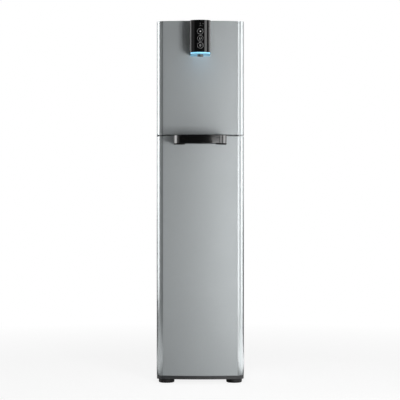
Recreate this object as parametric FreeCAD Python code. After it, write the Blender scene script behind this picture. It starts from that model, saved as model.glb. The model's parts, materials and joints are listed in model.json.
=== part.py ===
import FreeCAD, Part
import math
import os

# A floor-standing tower water dispenser: a slim cabinet with a two-part bowed front, a dispensing head with
# touch keys, and a drip tray on the service door. Millimetres, +Z up, front towards -Y. The origin is on the
# floor, under the middle of the whole outline.

V = FreeCAD.Vector
X_AXIS = V(1, 0, 0)
Y_AXIS = V(0, 1, 0)
Z_AXIS = V(0, 0, 1)

# ---- overall sizes
BODY_WIDTH = 266.0
CABINET_DEPTH = 380.0
BODY_TOP = 1100.0
TRAY_REACH = 118.0
FITTING_REACH = 16.0
BOW_RADIUS = 700.0
CORNER_RADIUS = 24.0
SHARPEST_CORNER = 0.5

# ---- heights of the visible joints
FOOT_HEIGHT = 12.0
PLINTH_HEIGHT = 10.2
PLINTH_GAP = 0.8
DOOR_TOP = 750.6
SPLIT_GAP = 3.6
DOOR_EDGE_ROUND = 1.2
SCOOP_REACH = 31.0

# ---- sheet and shell thicknesses, clearances
SHELL = 2.5
SHEET = 1.0
LID_SHEET = 3.0
LID_SKIRT = 8.0
REAR_SHEET = 1.2
COVER_DEPTH = 45.0
SIDE_SEAM = 3.0
CHASSIS_SETBACK = 4.0
SEAT = 0.3
RUNNING = 0.05

# ---- chassis
POST_SIZE = 16.0
POST_WALL = 1.5
FLANGE = 14.0
SHELF_LIP = 18.0
LOWER_SHELF_Z = 262.0
MID_SHELF_Z = 758.0
BACK_WALL_SETBACK = 114.0

# ---- feet
FOOT_RADIUS = 24.0
FOOT_INSET_X = 30.0
FOOT_INSET_FRONT = 36.0
FOOT_INSET_REAR = 40.0
STUD_RADIUS = 5.0
FOOT_BOSS_RADIUS = 15.0
STUD_END_GAP = 0.4

# ---- door hinge
HINGE_INSET = 8.5
PIN_RADIUS = 3.0
PIN_LENGTH = 14.0
HINGE_PLATE = 2.0
HINGE_WIDTH = 15.0

# ---- dispensing head
HEAD_WIDTH = 60.0
HEAD_HEIGHT = 96.0
HEAD_DROP = 8.0
HEAD_REACH = 90.0
HEAD_FRONT_RADIUS = 42.0
HEAD_CORNER = 3.0
HEAD_WALL = 4.0
TOUCH_PANEL = 2.0
TOUCH_PANEL_WIDTH = 51.0
LIGHT_GUIDE_HEIGHT = 4.2
LIGHT_GUIDE_INSET = 0.8
SPIGOT_WIDTH = 40.0
SPIGOT_HEIGHT = 66.0
SPIGOT_REACH = 16.0
CLAMP_SHEET = 2.0
BOARD_SETBACK = 11.0
NOZZLE_RADIUS = 9.0
NOZZLE_BORE = 4.2
NOZZLE_DROP = 10.5
NOZZLE_HOLE_GAP = 0.8
NOZZLE_INSERTION = 12.0
NOZZLE_SETBACK = 38.0

# ---- drip tray
TRAY_WIDTH = 157.0
TRAY_HEIGHT = 23.6
TRAY_TOP_GAP = 2.9
TRAY_CORNER = 28.0
TRAY_BOW_RADIUS = 320.0
TRAY_WALL = 2.5
TRAY_FLOOR = 2.2
TRAY_REAR_GAP = 0.6
GRILLE_THICKNESS = 1.6
GRILLE_RIM = 5.0
GRILLE_CLEARANCE = 0.4
SLOT_WIDTH = 3.2
SLOT_PITCH = 7.0
TONGUE_WIDTH = 104.0
TONGUE_LENGTH = 88.0
TONGUE_THICKNESS = 2.0
RUNNER_LIP = 1.3
BRACKET_SHEET = 2.6
RUNNER_OVERLAP = 6.0

# ---- filters
FILTER_RADIUS = 33.0
FILTER_PITCH = 74.0
FILTER_LENGTH = 296.0
FILTER_SETBACK = 60.0
NECK_RADIUS = 16.5
NECK_LENGTH = 26.0
SOCKET_CLEARANCE = 0.4
MANIFOLD_TOP = 700.0
MANIFOLD_HEIGHT = 44.0

# ---- cold tank
TANK_RADIUS = 75.0
TANK_HEIGHT = 215.0
TANK_WALL = 1.5
FOAM_WALL = 14.0
FOAM_BASE = 24.0
FOAM_REAR_GAP = 26.0
COIL_TUBE = 3.0
COIL_TURNS = 7
COIL_PITCH = 20.0
FLOAT_RADIUS = 13.0
FLOAT_HEIGHT = 16.0
FLOAT_ROD = 3.0

# ---- hot tank
HOT_RADIUS = 52.0
HOT_HEIGHT = 150.0
HOT_BASE_Z = 480.0
JACKET_WALL = 16.0
JACKET_END = 10.0
BAND_HEIGHT = 34.0
BAND_WALL = 3.0

# ---- cooling plant
COMPRESSOR_RADIUS = 58.0
COMPRESSOR_HEIGHT = 150.0
COMPRESSOR_SETBACK = 92.0
COMPRESSOR_SHELL = 3.0
MOTOR_RADIUS = 32.0
GROMMET_HEIGHT = 12.0
GROMMET_SPREAD = 62.0
CONDENSER_WIDTH = 180.0
CONDENSER_DEPTH = 38.0
CONDENSER_HEIGHT = 112.0
CONDENSER_BASE_Z = 45.0
FIN_PITCH = 8.0
FIN = 0.8
FAN_SIZE = 112.0
FAN_DEPTH = 24.0
FAN_BLADES = 7

# ---- rear fittings
HANDLE_WIDTH = 120.0
HANDLE_HEIGHT = 38.0
HANDLE_DEPTH = 20.0
HANDLE_Z = 1030.0
SWITCH_WIDTH = 14.0
SWITCH_HEIGHT = 21.0
ROCKER_DEPTH = 3.0
ROCKER_TILT = 7.0
FITTING_RADIUS = 8.0
FITTING_BORE = 3.3
SWITCH_Z = 300.0
SCREW_HEAD = 1.8
SCREW_RADIUS = 3.6
SHANK_RADIUS = 1.6

# ---- places worked out from the sizes above
HALF_WIDTH = BODY_WIDTH / 2
OVERALL_DEPTH = TRAY_REACH + CABINET_DEPTH + FITTING_REACH
Y_FRONT = TRAY_REACH - OVERALL_DEPTH / 2
Y_REAR = Y_FRONT + CABINET_DEPTH
Y_COVER = Y_FRONT + COVER_DEPTH
Y_SIDE = Y_COVER + SIDE_SEAM
Y_CHASSIS = Y_COVER + CHASSIS_SETBACK
Y_POST_BACK = Y_CHASSIS + POST_SIZE
Y_PANEL_BACK = Y_REAR - REAR_SHEET
Y_FLANGE = Y_PANEL_BACK - SHEET
Y_WALL = Y_CHASSIS + BACK_WALL_SETBACK
INNER_HALF = HALF_WIDTH - SHEET
PLINTH_TOP = FOOT_HEIGHT + PLINTH_HEIGHT
FLOOR_TOP = PLINTH_TOP + SHEET
DOOR_BOTTOM = PLINTH_TOP + PLINTH_GAP
UPPER_BOTTOM = DOOR_TOP + SPLIT_GAP
POST_TOP = BODY_TOP - LID_SHEET - LID_SKIRT
HINGE_X = HALF_WIDTH - HINGE_INSET
HINGE_Y = Y_COVER - HINGE_INSET
HEAD_TOP = BODY_TOP - HEAD_DROP
HEAD_BOTTOM = HEAD_TOP - HEAD_HEIGHT
HEAD_FRONT = Y_FRONT - HEAD_REACH
NOZZLE_Y = HEAD_FRONT + NOZZLE_SETBACK
TRAY_TOP = DOOR_TOP - TRAY_TOP_GAP
TRAY_BOTTOM = TRAY_TOP - TRAY_HEIGHT
TRAY_FRONT = Y_FRONT - TRAY_REACH
FOOT_X = HALF_WIDTH - FOOT_INSET_X
FOOT_Y = {"front": Y_FRONT + FOOT_INSET_FRONT, "rear": Y_REAR - FOOT_INSET_REAR}
FILTER_Y = Y_CHASSIS + FILTER_SETBACK
FILTER_TOP = MANIFOLD_TOP - MANIFOLD_HEIGHT - SEAT
TANK_BASE_Z = MID_SHELF_Z + SHEET + FOAM_BASE
TANK_Y = Y_REAR - FOAM_REAR_GAP - FOAM_WALL - TANK_RADIUS - 2 * COIL_TUBE
HOT_X = HOT_RADIUS + JACKET_WALL + 8.0 - INNER_HALF
HOT_Y = Y_WALL + SHEET + HOT_RADIUS + JACKET_WALL + 6.0
COMPRESSOR_Y = Y_CHASSIS + COMPRESSOR_SETBACK
CONDENSER_Y = Y_FLANGE - CONDENSER_DEPTH - 6.0
FAN_Y = CONDENSER_Y - FAN_DEPTH - SEAT
FAN_Z = CONDENSER_BASE_Z + CONDENSER_HEIGHT / 2
FAR = 2000.0


# ---- basic solids
def box(x0, x1, y0, y1, z0, z1):
    return Part.makeBox(x1 - x0, y1 - y0, z1 - z0, V(x0, y0, z0))


def rod(radius, start, direction, length):
    return Part.makeCylinder(radius, length, start, direction)


def ring(outer, inner, start, direction, length):
    return rod(outer, start, direction, length).cut(rod(inner, start, direction, length))


def prism(face, z0, z1):
    moved = face.copy()
    moved.translate(V(0, 0, z0))
    return moved.extrude(V(0, 0, z1 - z0))


def fuse(shapes):
    """All the shapes as one solid, with the seams between them removed."""
    if len(shapes) == 1:
        return shapes[0]
    return shapes[0].multiFuse(shapes[1:]).removeSplitter()


def group(shapes):
    return Part.makeCompound(shapes)


def mirrored(shape):
    return shape.mirror(V(0, 0, 0), X_AXIS)


def lathe(profile, centre):
    """A solid of revolution about the vertical through centre. Profile points are (radius, height), and a
    triple (radius, height, bulge point) reaches its point by an arc through the bulge point."""
    edges = []
    last = profile[0]
    for point in profile[1:] + [profile[0]]:
        start = V(last[0], 0, last[1])
        end = V(point[0], 0, point[1])
        if len(point) == 3:
            through = V(point[2][0], 0, point[2][1])
            edges.append(Part.Arc(start, through, end).toShape())
        else:
            edges.append(Part.LineSegment(start, end).toShape())
        last = point
    solid = Part.Face(Part.Wire(edges)).revolve(V(0, 0, 0), Z_AXIS, 360)
    solid.translate(V(*centre))
    return solid


def rounded_box(x0, x1, y0, y1, z0, z1, radius, along=Z_AXIS):
    """A box with the four edges that run along one axis rounded."""
    block = box(x0, x1, y0, y1, z0, z1)
    chosen = []
    for edge in block.Edges:
        run = edge.Vertexes[1].Point - edge.Vertexes[0].Point
        if abs(run.normalize().dot(along)) > 0.99:
            chosen.append(edge)
    return block.makeFillet(radius, chosen)


def screw(point, inward, shank):
    """A pan-head screw whose head sits on the surface at point and whose shank goes inward."""
    head = rod(SCREW_RADIUS, point - inward * SCREW_HEAD, inward, SCREW_HEAD)
    return fuse([head, rod(SHANK_RADIUS, point, inward, shank)])


def screw_hole(point, inward, depth):
    return rod(SHANK_RADIUS + RUNNING, point, inward, depth)


# ---- outlines
def bowed_plan(offset, y_back, half=HALF_WIDTH, front=Y_FRONT, bow=BOW_RADIUS, corner=CORNER_RADIUS):
    """A plan moved inward by offset: a bowed front, rounded front corners and straight sides."""
    half, front, bow = half - offset, front + offset, bow - offset
    corner = max(corner - offset, SHARPEST_CORNER)
    bow_y = front + bow
    corner_x = half - corner
    corner_y = bow_y - math.sqrt((bow - corner) ** 2 - corner_x**2)
    reach = V(corner_x, corner_y - bow_y, 0).normalize()
    front_end = V(0, bow_y, 0) + reach * bow
    side_end = V(half, corner_y, 0)
    diagonal = (reach + X_AXIS).normalize()
    corner_middle = V(corner_x, corner_y, 0) + diagonal * corner

    def flip(point):
        return V(-point.x, point.y, 0)

    edges = [
        Part.Arc(flip(front_end), V(0, front, 0), front_end).toShape(),
        Part.Arc(front_end, corner_middle, side_end).toShape(),
        Part.LineSegment(side_end, V(half, y_back, 0)).toShape(),
        Part.LineSegment(V(half, y_back, 0), V(-half, y_back, 0)).toShape(),
        Part.LineSegment(V(-half, y_back, 0), flip(side_end)).toShape(),
        Part.Arc(flip(side_end), flip(corner_middle), flip(front_end)).toShape(),
    ]
    return Part.Face(Part.Wire(edges))


def head_plan(offset, y_back):
    return bowed_plan(offset, y_back, HEAD_WIDTH / 2, HEAD_FRONT, HEAD_FRONT_RADIUS, HEAD_CORNER)


def tray_plan(offset, y_back):
    """The plan of the tray: a slightly bowed front between two large round corners."""
    return bowed_plan(offset, y_back, TRAY_WIDTH / 2, TRAY_FRONT, TRAY_BOW_RADIUS, TRAY_CORNER)


def round_outer_edges(shape, z, radius):
    """Rounds the edges at height z that lie on the outer outline of the cabinet."""
    chosen = []
    for edge in shape.Edges:
        low = edge.BoundBox
        middle = edge.valueAt((edge.FirstParameter + edge.LastParameter) / 2)
        level = abs(low.ZMin - z) < 0.01 and abs(low.ZMax - z) < 0.01
        inside = bowed_plan(0.5, Y_REAR).isInside(V(middle.x, middle.y, 0), 0.01, True)
        if level and not inside and middle.y < Y_COVER - 1:
            chosen.append(edge)
    return shape.makeFillet(radius, chosen)


# ---- base
def foot_centres():
    for depth, y in FOOT_Y.items():
        for side, x in (("left", -FOOT_X), ("right", FOOT_X)):
            yield f"{depth}_{side}", x, y


def base_plinth():
    """The moulded base: a deck on a rim, with a boss for each foot and ribs underneath."""
    rim = 3.2
    deck = 2.4
    rib = 2.4
    outer = prism(bowed_plan(0.6, Y_PANEL_BACK), FOOT_HEIGHT, PLINTH_TOP)
    hollow = prism(bowed_plan(0.6 + rim, Y_PANEL_BACK - rim), FOOT_HEIGHT, PLINTH_TOP - deck)
    shell = outer.cut(hollow)
    added = []
    for share in (1 / 3, 2 / 3):
        x = HALF_WIDTH * (2 * share - 1)
        added.append(box(x - rib / 2, x + rib / 2, Y_FRONT, Y_REAR, FOOT_HEIGHT, PLINTH_TOP - deck))
    for share in (1 / 5, 2 / 5, 3 / 5, 4 / 5):
        y = Y_FRONT + CABINET_DEPTH * share
        added.append(box(-HALF_WIDTH, HALF_WIDTH, y - rib / 2, y + rib / 2, FOOT_HEIGHT, PLINTH_TOP - deck))
    pad = box(HINGE_X - 12, HALF_WIDTH, HINGE_Y - 12, Y_CHASSIS + 24, FOOT_HEIGHT, PLINTH_TOP - deck)
    added.append(pad)
    for _, x, y in foot_centres():
        added.append(rod(FOOT_BOSS_RADIUS, V(x, y, FOOT_HEIGHT), Z_AXIS, PLINTH_HEIGHT - deck))
    body = fuse([shell] + [piece.common(hollow) for piece in added])
    for _, x, y in foot_centres():
        body = body.cut(rod(STUD_RADIUS + RUNNING, V(x, y, 0), Z_AXIS, PLINTH_TOP + 1))
    return body.cut(hinge_plate_lower(SEAT / 2))


def base_plate():
    """The steel floor that carries the cooling plant and ties the side panels to the plinth."""
    plate = box(-INNER_HALF, INNER_HALF, Y_CHASSIS, Y_FLANGE, PLINTH_TOP, FLOOR_TOP)
    for x, y in grommet_centres():
        plate = plate.cut(rod(3.0, V(x, y, 0), Z_AXIS, FLOOR_TOP + 1))
    return plate


def levelling_foot(x, y):
    """A moulded foot on a steel stud. The stud runs in the plinth's boss."""
    low_round = 4.0
    top = FOOT_HEIGHT - SEAT
    bulge = low_round * (1 - math.sqrt(0.5))
    stud_top = PLINTH_TOP - STUD_END_GAP
    profile = [
        (0, 0),
        (FOOT_RADIUS - low_round, 0),
        (FOOT_RADIUS, low_round, (FOOT_RADIUS - bulge, bulge)),
        (FOOT_RADIUS, top - 1),
        (FOOT_RADIUS - 1, top),
        (STUD_RADIUS, top),
        (STUD_RADIUS, stud_top - 1),
        (STUD_RADIUS - 1, stud_top),
        (0, stud_top),
    ]
    return lathe(profile, (x, y, 0))


# ---- cabinet
def side_panel_right():
    """A steel side with its rear edge folded inward."""
    top = BODY_TOP - LID_SHEET - SEAT
    sheet = box(INNER_HALF, HALF_WIDTH, Y_SIDE, Y_PANEL_BACK, PLINTH_TOP, top)
    flange = box(HALF_WIDTH - FLANGE, INNER_HALF, Y_FLANGE, Y_PANEL_BACK, PLINTH_TOP, top)
    panel = fuse([sheet, flange])
    for point in rear_screw_points():
        panel = panel.cut(screw_hole(point, Y_AXIS * -1, 8))
    return panel


def rear_screw_points():
    """The places of the rear panel's screws, on its outer face."""
    x = HALF_WIDTH - FLANGE / 2
    rows = 5
    low = PLINTH_TOP + 30
    high = BODY_TOP - 40
    for row in range(rows):
        z = low + (high - low) * row / (rows - 1)
        for side in (-1, 1):
            yield V(side * x, Y_REAR, z)


def louvre_rows():
    slot = 6.0
    pitch = 13.0
    count = int((CONDENSER_HEIGHT - slot) / pitch) + 1
    for row in range(count):
        z = CONDENSER_BASE_Z + pitch * row
        yield z, z + slot


def rear_panel():
    """The back sheet, with louvres behind the condenser and cut-outs for what passes through it."""
    half = HALF_WIDTH - SEAT
    top = BODY_TOP - LID_SHEET - SEAT
    panel = box(-half, half, Y_PANEL_BACK, Y_REAR, PLINTH_TOP, top)
    for z0, z1 in louvre_rows():
        for side in (-1, 1):
            x = side * (CONDENSER_WIDTH / 4 + 2)
            w = CONDENSER_WIDTH / 4 - 4
            slot = rounded_box(x - w, x + w, Y_PANEL_BACK - 1, Y_REAR + 1, z0, z1, 2.9, Y_AXIS)
            panel = panel.cut(slot)
    panel = panel.cut(handle_opening(Y_PANEL_BACK - 1, Y_REAR + 1, SEAT))
    for point in fitting_places():
        panel = panel.cut(rod(FITTING_RADIUS + SEAT, point - Y_AXIS * 5, Y_AXIS, 10))
    x, z = inlet_socket_place()
    panel = panel.cut(box(x - 14.3, x + 14.3, Y_PANEL_BACK - 1, Y_REAR + 1, z - 10.3, z + 10.3))
    for x, z in switch_places():
        w = SWITCH_WIDTH / 2 + 1.5 + SEAT
        h = SWITCH_HEIGHT / 2 + 1.5 + SEAT
        panel = panel.cut(box(x - w, x + w, Y_PANEL_BACK - 1, Y_REAR + 1, z - h, z + h))
    for point in rear_screw_points():
        panel = panel.cut(screw_hole(point + Y_AXIS, Y_AXIS * -1, 8))
    return panel


def handle_opening(y0, y1, grow):
    half = HANDLE_WIDTH / 2 + grow
    tall = HANDLE_HEIGHT / 2 + grow
    return rounded_box(-half, half, y0, y1, HANDLE_Z - tall, HANDLE_Z + tall, 8 + grow, Y_AXIS)


def rear_handle():
    """The moulded finger recess that lets two people lift the cabinet."""
    wall = 2.0
    cup = handle_opening(Y_REAR - HANDLE_DEPTH, Y_REAR, 0)
    bezel = handle_opening(Y_REAR, Y_REAR + 1.5, 5)
    hollow = handle_opening(Y_REAR - HANDLE_DEPTH + wall, Y_REAR + 2, -wall)
    return fuse([cup, bezel]).cut(hollow)


def case_screws():
    """The screws of the rear panel, the upper hinge and the head's clamp."""
    screws = [screw(point, Y_AXIS * -1, 6) for point in rear_screw_points()]
    for point in hinge_screw_points():
        screws.append(screw(point, Y_AXIS, HINGE_PLATE + POST_WALL))
    for point in head_screw_points():
        screws.append(screw(point, Y_AXIS * -1, CLAMP_SHEET + SHELL + 2))
    return group(screws)


def top_cover():
    """The lid: a plate inside the front cover and over the side and rear panels, with a skirt."""
    inset = SHELL + SEAT
    plate_z = BODY_TOP - LID_SHEET
    front = prism(bowed_plan(inset, Y_SIDE), plate_z, BODY_TOP)
    lap = box(-HALF_WIDTH, HALF_WIDTH, Y_SIDE, Y_REAR, plate_z, BODY_TOP)
    outer = prism(bowed_plan(inset, Y_FLANGE - SEAT), plate_z - LID_SKIRT, plate_z)
    inner = prism(bowed_plan(inset + 2.2, Y_FLANGE - SEAT - 2.2), plate_z - LID_SKIRT, plate_z)
    lid = fuse([front, lap, outer.cut(inner)])
    edges = []
    for edge in lid.Edges:
        bound = edge.BoundBox
        if bound.ZMin > BODY_TOP - 0.01 and bound.YMax > Y_SIDE + 5:
            edges.append(edge)
    return lid.makeFillet(1.5, edges)


def post_right():
    """A square tube from the base plate to the lid. It carries the shelves, the covers and the hinges."""
    outer = box(INNER_HALF - POST_SIZE, INNER_HALF, Y_CHASSIS, Y_POST_BACK, FLOOR_TOP, POST_TOP)
    inner = box(
        INNER_HALF - POST_SIZE + POST_WALL,
        INNER_HALF - POST_WALL,
        Y_CHASSIS + POST_WALL,
        Y_POST_BACK - POST_WALL,
        FLOOR_TOP - 1,
        POST_TOP + 1,
    )
    post = outer.cut(inner)
    for point in hinge_screw_points():
        post = post.cut(screw_hole(point, Y_AXIS, 6))
    return post


def shelf(z):
    """A steel shelf behind the posts, with its front edge turned down."""
    y0 = Y_POST_BACK
    plate = box(-INNER_HALF, INNER_HALF, y0, Y_FLANGE, z, z + SHEET)
    lip = box(-INNER_HALF, INNER_HALF, y0, y0 + SHEET, z - SHELF_LIP, z)
    return fuse([plate, lip])


def bay_back_wall():
    """The sheet behind the filters. It holds the manifold in front and the hot tank and board behind."""
    y0 = Y_WALL + SHEET
    wall = box(-INNER_HALF, INNER_HALF, Y_WALL, y0, LOWER_SHELF_Z + SHEET, MID_SHELF_Z)
    for x in (-FILTER_PITCH, FILTER_PITCH):
        wall = wall.cut(rod(6.0, V(x, Y_WALL - 1, manifold_port_z()), Y_AXIS, SHEET + 2))
    half = HOT_RADIUS + JACKET_WALL - 6
    z0 = HOT_BASE_Z - JACKET_END - 2
    cradle = box(HOT_X - half, HOT_X + half, y0, HOT_Y + half, z0, z0 + 2)
    brace = box(HOT_X - half, HOT_X + half, y0, y0 + 2, z0 - 30, z0)
    return fuse([wall, cradle, brace]).cut(rod(7.0, V(HOT_X, HOT_Y, z0 - 1), Z_AXIS, 4))


def bay_cover():
    """The slotted moulding that closes the cooling plant behind the door."""
    half = INNER_HALF - POST_SIZE - SEAT
    y0 = Y_CHASSIS + 2
    thick = 2.5
    top = LOWER_SHELF_Z - 2
    panel = box(-half, half, y0, y0 + thick, FLOOR_TOP + SEAT, top)
    rim = 10.0
    outer = box(-half, half, y0, Y_POST_BACK - SEAT, FLOOR_TOP + SEAT, top)
    inner = box(-half + thick, half - thick, y0, Y_POST_BACK, FLOOR_TOP + SEAT + thick, top - thick)
    panel = fuse([panel, outer.cut(inner)])
    slots = 9
    for row in range(slots):
        z = FLOOR_TOP + 50 + row * 15
        slot = rounded_box(rim * 2 - half, half - rim * 2, y0 - 1, y0 + thick + 1, z, z + 6, 2.9, Y_AXIS)
        panel = panel.cut(slot)
    return panel


# ---- front covers
def cover_shell(z0, z1):
    """A bowed front with its corners turned back, open behind."""
    outer = prism(bowed_plan(0, Y_COVER), z0, z1)
    inner = prism(bowed_plan(SHELL, Y_COVER + 1), z0, z1)
    return outer.cut(inner)


def front_cover_upper():
    """The fixed upper front, closed below and open above, where the lid drops in."""
    floor = prism(bowed_plan(0.5, Y_COVER), UPPER_BOTTOM, UPPER_BOTTOM + SHELL)
    cover = fuse([cover_shell(UPPER_BOTTOM, BODY_TOP), floor])
    cover = round_outer_edges(cover, UPPER_BOTTOM, DOOR_EDGE_ROUND)
    for point in head_screw_points():
        cover = cover.cut(screw_hole(point, Y_AXIS * -1, 8))
    return cover.cut(spigot_solid(SEAT))


def door_skin():
    """The painted front of the service door, closed above and below, with a scoop at its free corner."""
    caps = [
        prism(bowed_plan(0.5, Y_COVER), DOOR_BOTTOM, DOOR_BOTTOM + SHELL),
        prism(bowed_plan(0.5, Y_COVER), DOOR_TOP - SHELL, DOOR_TOP),
    ]
    skin = fuse([cover_shell(DOOR_BOTTOM, DOOR_TOP)] + caps)
    skin = round_outer_edges(skin, DOOR_TOP, DOOR_EDGE_ROUND)
    skin = skin.fuse(scoop_block(0)).cut(finger_scoop())
    skin = skin.cut(rod(PIN_RADIUS + 0.4, V(HINGE_X, HINGE_Y, 0), Z_AXIS, BODY_TOP))
    for point in tray_screw_points():
        skin = skin.cut(screw_hole(point, Y_AXIS, 12))
    return skin


def scoop_block(grow):
    """The thickening inside the door's skin that the finger scoop is cut into."""
    x0 = -HALF_WIDTH + SHELL - 0.5
    y0 = Y_COVER - SCOOP_REACH - 1 - grow
    block = box(x0, x0 + 12.5 + grow, y0, Y_COVER, DOOR_TOP - SHELL - 12 - grow, DOOR_TOP - 1)
    return block.common(prism(bowed_plan(0.5, Y_COVER + 1), 0, FAR))


def finger_scoop():
    """A groove cut down into the top corner of the door for a fingertip."""
    depth = 5.0
    width = 6.0
    corner = V(-HALF_WIDTH - 1, Y_COVER - SCOOP_REACH, DOOR_TOP + 1)
    points = [corner, corner + V(width + 1, 0, 0), corner + V(0, 0, -depth - 1), corner]
    return Part.Face(Part.makePolygon(points)).extrude(V(0, SCOOP_REACH + 2, 0))


def door_liner():
    """The inner moulding of the door: a back plate, a rim, and blocks bored for the hinge pins."""
    inset = SHELL + SEAT
    z0 = DOOR_BOTTOM + inset
    z1 = DOOR_TOP - inset
    rim = 15.0
    thick = 2.5
    outer = prism(bowed_plan(inset, Y_COVER), z0, z1)
    hollow = prism(bowed_plan(inset + thick, Y_COVER - thick), z0 + thick, z1 - thick)
    liner = outer.cut(hollow).common(box(-FAR, FAR, Y_COVER - rim, Y_COVER, z0, z1))
    block_x = HINGE_X - 9
    block = box(block_x, HALF_WIDTH, Y_COVER - rim, Y_COVER, 0, PIN_LENGTH + 8)
    for z in (z0, z1 - PIN_LENGTH - 8):
        placed = block.copy()
        placed.translate(V(0, 0, z))
        liner = liner.fuse(placed.common(outer))
    liner = liner.removeSplitter().cut(scoop_block(SEAT))
    for z in (DOOR_BOTTOM, DOOR_TOP - PIN_LENGTH - 2):
        bore = rod(PIN_RADIUS + RUNNING, V(HINGE_X, HINGE_Y, z - 1), Z_AXIS, PIN_LENGTH + 3)
        liner = liner.cut(bore)
    return liner.cut(strike_solid(0.0))


def strike_solid(shrink):
    z0 = catch_z()
    x0 = -INNER_HALF + 4
    return box(
        x0 + shrink, x0 + 12 - shrink, Y_COVER - 1.6 + shrink, Y_COVER, z0 + shrink, z0 + 44 - shrink
    )


def catch_z():
    return (DOOR_BOTTOM + DOOR_TOP) / 2


def door_catch():
    """The magnet in its housing, on the left post, that holds the door shut."""
    z0 = catch_z()
    x0 = -INNER_HALF + 3
    return rounded_box(x0, x0 + 14, Y_COVER + SEAT, Y_CHASSIS, z0 - 3, z0 + 47, 2, Y_AXIS)


# ---- hinges
def hinge_plate_lower(grow):
    """The plate of the lower hinge, let into the plinth and held down by the base plate."""
    return box(
        HINGE_X - HINGE_WIDTH / 2 - grow,
        HINGE_X + HINGE_WIDTH / 2 - 2 + grow,
        HINGE_Y - 7 - grow,
        Y_CHASSIS + 20 + grow,
        PLINTH_TOP - HINGE_PLATE,
        PLINTH_TOP + grow,
    )


def hinge_lower():
    pin = rod(PIN_RADIUS, V(HINGE_X, HINGE_Y, PLINTH_TOP - 1), Z_AXIS, PIN_LENGTH + 1)
    return fuse([hinge_plate_lower(0), pin])


def hinge_screw_points():
    for step in (10, 22):
        yield V(HINGE_X - 1.5, Y_CHASSIS - HINGE_PLATE, DOOR_TOP + step + 4)


def hinge_upper():
    """The upper hinge: a plate in the gap above the door, with a pin down into it and a tab on the post."""
    z0 = DOOR_TOP + (SPLIT_GAP - HINGE_PLATE) / 2
    x0 = HINGE_X - HINGE_WIDTH / 2 - 1
    x1 = HINGE_X + HINGE_WIDTH / 2 - 2
    plate = box(x0, x1, HINGE_Y - 7, Y_CHASSIS, z0, z0 + HINGE_PLATE)
    tab = box(x0, x1, Y_CHASSIS - HINGE_PLATE, Y_CHASSIS, z0, DOOR_TOP + 32)
    pin = rod(PIN_RADIUS, V(HINGE_X, HINGE_Y, z0 - PIN_LENGTH), Z_AXIS, PIN_LENGTH + 1)
    bracket = fuse([plate, tab, pin])
    for point in hinge_screw_points():
        bracket = bracket.cut(screw_hole(point, Y_AXIS, 6))
    return bracket


# ---- dispensing head
def spigot_solid(grow):
    """The square neck of the head that goes through the front cover."""
    half = SPIGOT_WIDTH / 2 + grow
    middle = (HEAD_TOP + HEAD_BOTTOM) / 2
    tall = SPIGOT_HEIGHT / 2 + grow
    return rounded_box(
        -half, half, Y_FRONT - 20, Y_FRONT + SPIGOT_REACH, middle - tall, middle + tall, 6 + grow, Y_AXIS
    )


def head_window(grow):
    half = TOUCH_PANEL_WIDTH / 2 + grow
    return box(-half, half, HEAD_FRONT - 1, HEAD_FRONT + 25, HEAD_BOTTOM + 2.2 - grow, HEAD_TOP + 1)


def head_housing():
    """The hollow body of the head, open in front for the touch panel, with a neck into the cabinet."""
    face_gap = SEAT
    cabinet = prism(bowed_plan(-face_gap, Y_REAR), HEAD_BOTTOM - 1, HEAD_TOP + 1)
    outer = prism(head_plan(0, Y_FRONT + 12), HEAD_BOTTOM, HEAD_TOP)
    cavity = head_plan(HEAD_WALL, Y_FRONT - SEAT - HEAD_WALL)
    inner = prism(cavity, HEAD_BOTTOM + HEAD_WALL, HEAD_TOP - HEAD_WALL)
    body = outer.cut(cabinet)
    neck = spigot_solid(-SEAT)
    body = fuse([body, neck])
    body = body.cut(inner).cut(spigot_solid(-SEAT - HEAD_WALL))
    window = prism(head_plan(-1, Y_FRONT), 0, FAR).cut(prism(head_plan(TOUCH_PANEL + 0.2, Y_FRONT), 0, FAR))
    body = body.cut(window.common(head_window(0.2)))
    body = body.cut(head_window(-4).common(prism(head_plan(0, Y_FRONT), HEAD_BOTTOM + 6, HEAD_TOP - 6)))
    nozzle_hole = NOZZLE_RADIUS + NOZZLE_HOLE_GAP
    body = body.cut(rod(nozzle_hole, V(0, NOZZLE_Y, 0), Z_AXIS, HEAD_BOTTOM + HEAD_WALL + 1))
    for point in head_screw_points():
        body = body.cut(screw_hole(point, Y_AXIS * -1, 8))
    return body


def touch_panel():
    """The curved glossy front of the head, with the capacitive keys behind it."""
    outer = prism(head_plan(0, Y_FRONT), HEAD_BOTTOM + 2.2, HEAD_TOP)
    inner = prism(head_plan(TOUCH_PANEL, Y_FRONT), HEAD_BOTTOM, HEAD_TOP + 1)
    return outer.cut(inner).common(head_window(0))


def light_guide():
    """The translucent plate under the head that spreads the glow of the lamps."""
    cabinet = prism(bowed_plan(-SEAT, Y_REAR), 0, FAR)
    z0 = HEAD_BOTTOM - LIGHT_GUIDE_HEIGHT
    plate = prism(head_plan(LIGHT_GUIDE_INSET, Y_FRONT + 12), z0, HEAD_BOTTOM).cut(cabinet)
    return plate.cut(rod(NOZZLE_RADIUS + NOZZLE_HOLE_GAP, V(0, NOZZLE_Y, 0), Z_AXIS, FAR))


def nozzle_socket():
    """The fixed outlet inside the head, which the removable nozzle pushes into."""
    z0 = HEAD_BOTTOM + HEAD_WALL
    outer = rod(NOZZLE_RADIUS + 5, V(0, NOZZLE_Y, z0), Z_AXIS, 22)
    barb = rod(3.2, V(0, NOZZLE_Y, z0 + 22), Z_AXIS, 12)
    socket = fuse([outer, barb])
    bore = rod(NOZZLE_RADIUS + RUNNING, V(0, NOZZLE_Y, z0 - 1), Z_AXIS, NOZZLE_INSERTION + 1 + SEAT)
    socket = socket.cut(bore)
    return socket.cut(rod(2.0, V(0, NOZZLE_Y, z0), Z_AXIS, 40))


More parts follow.
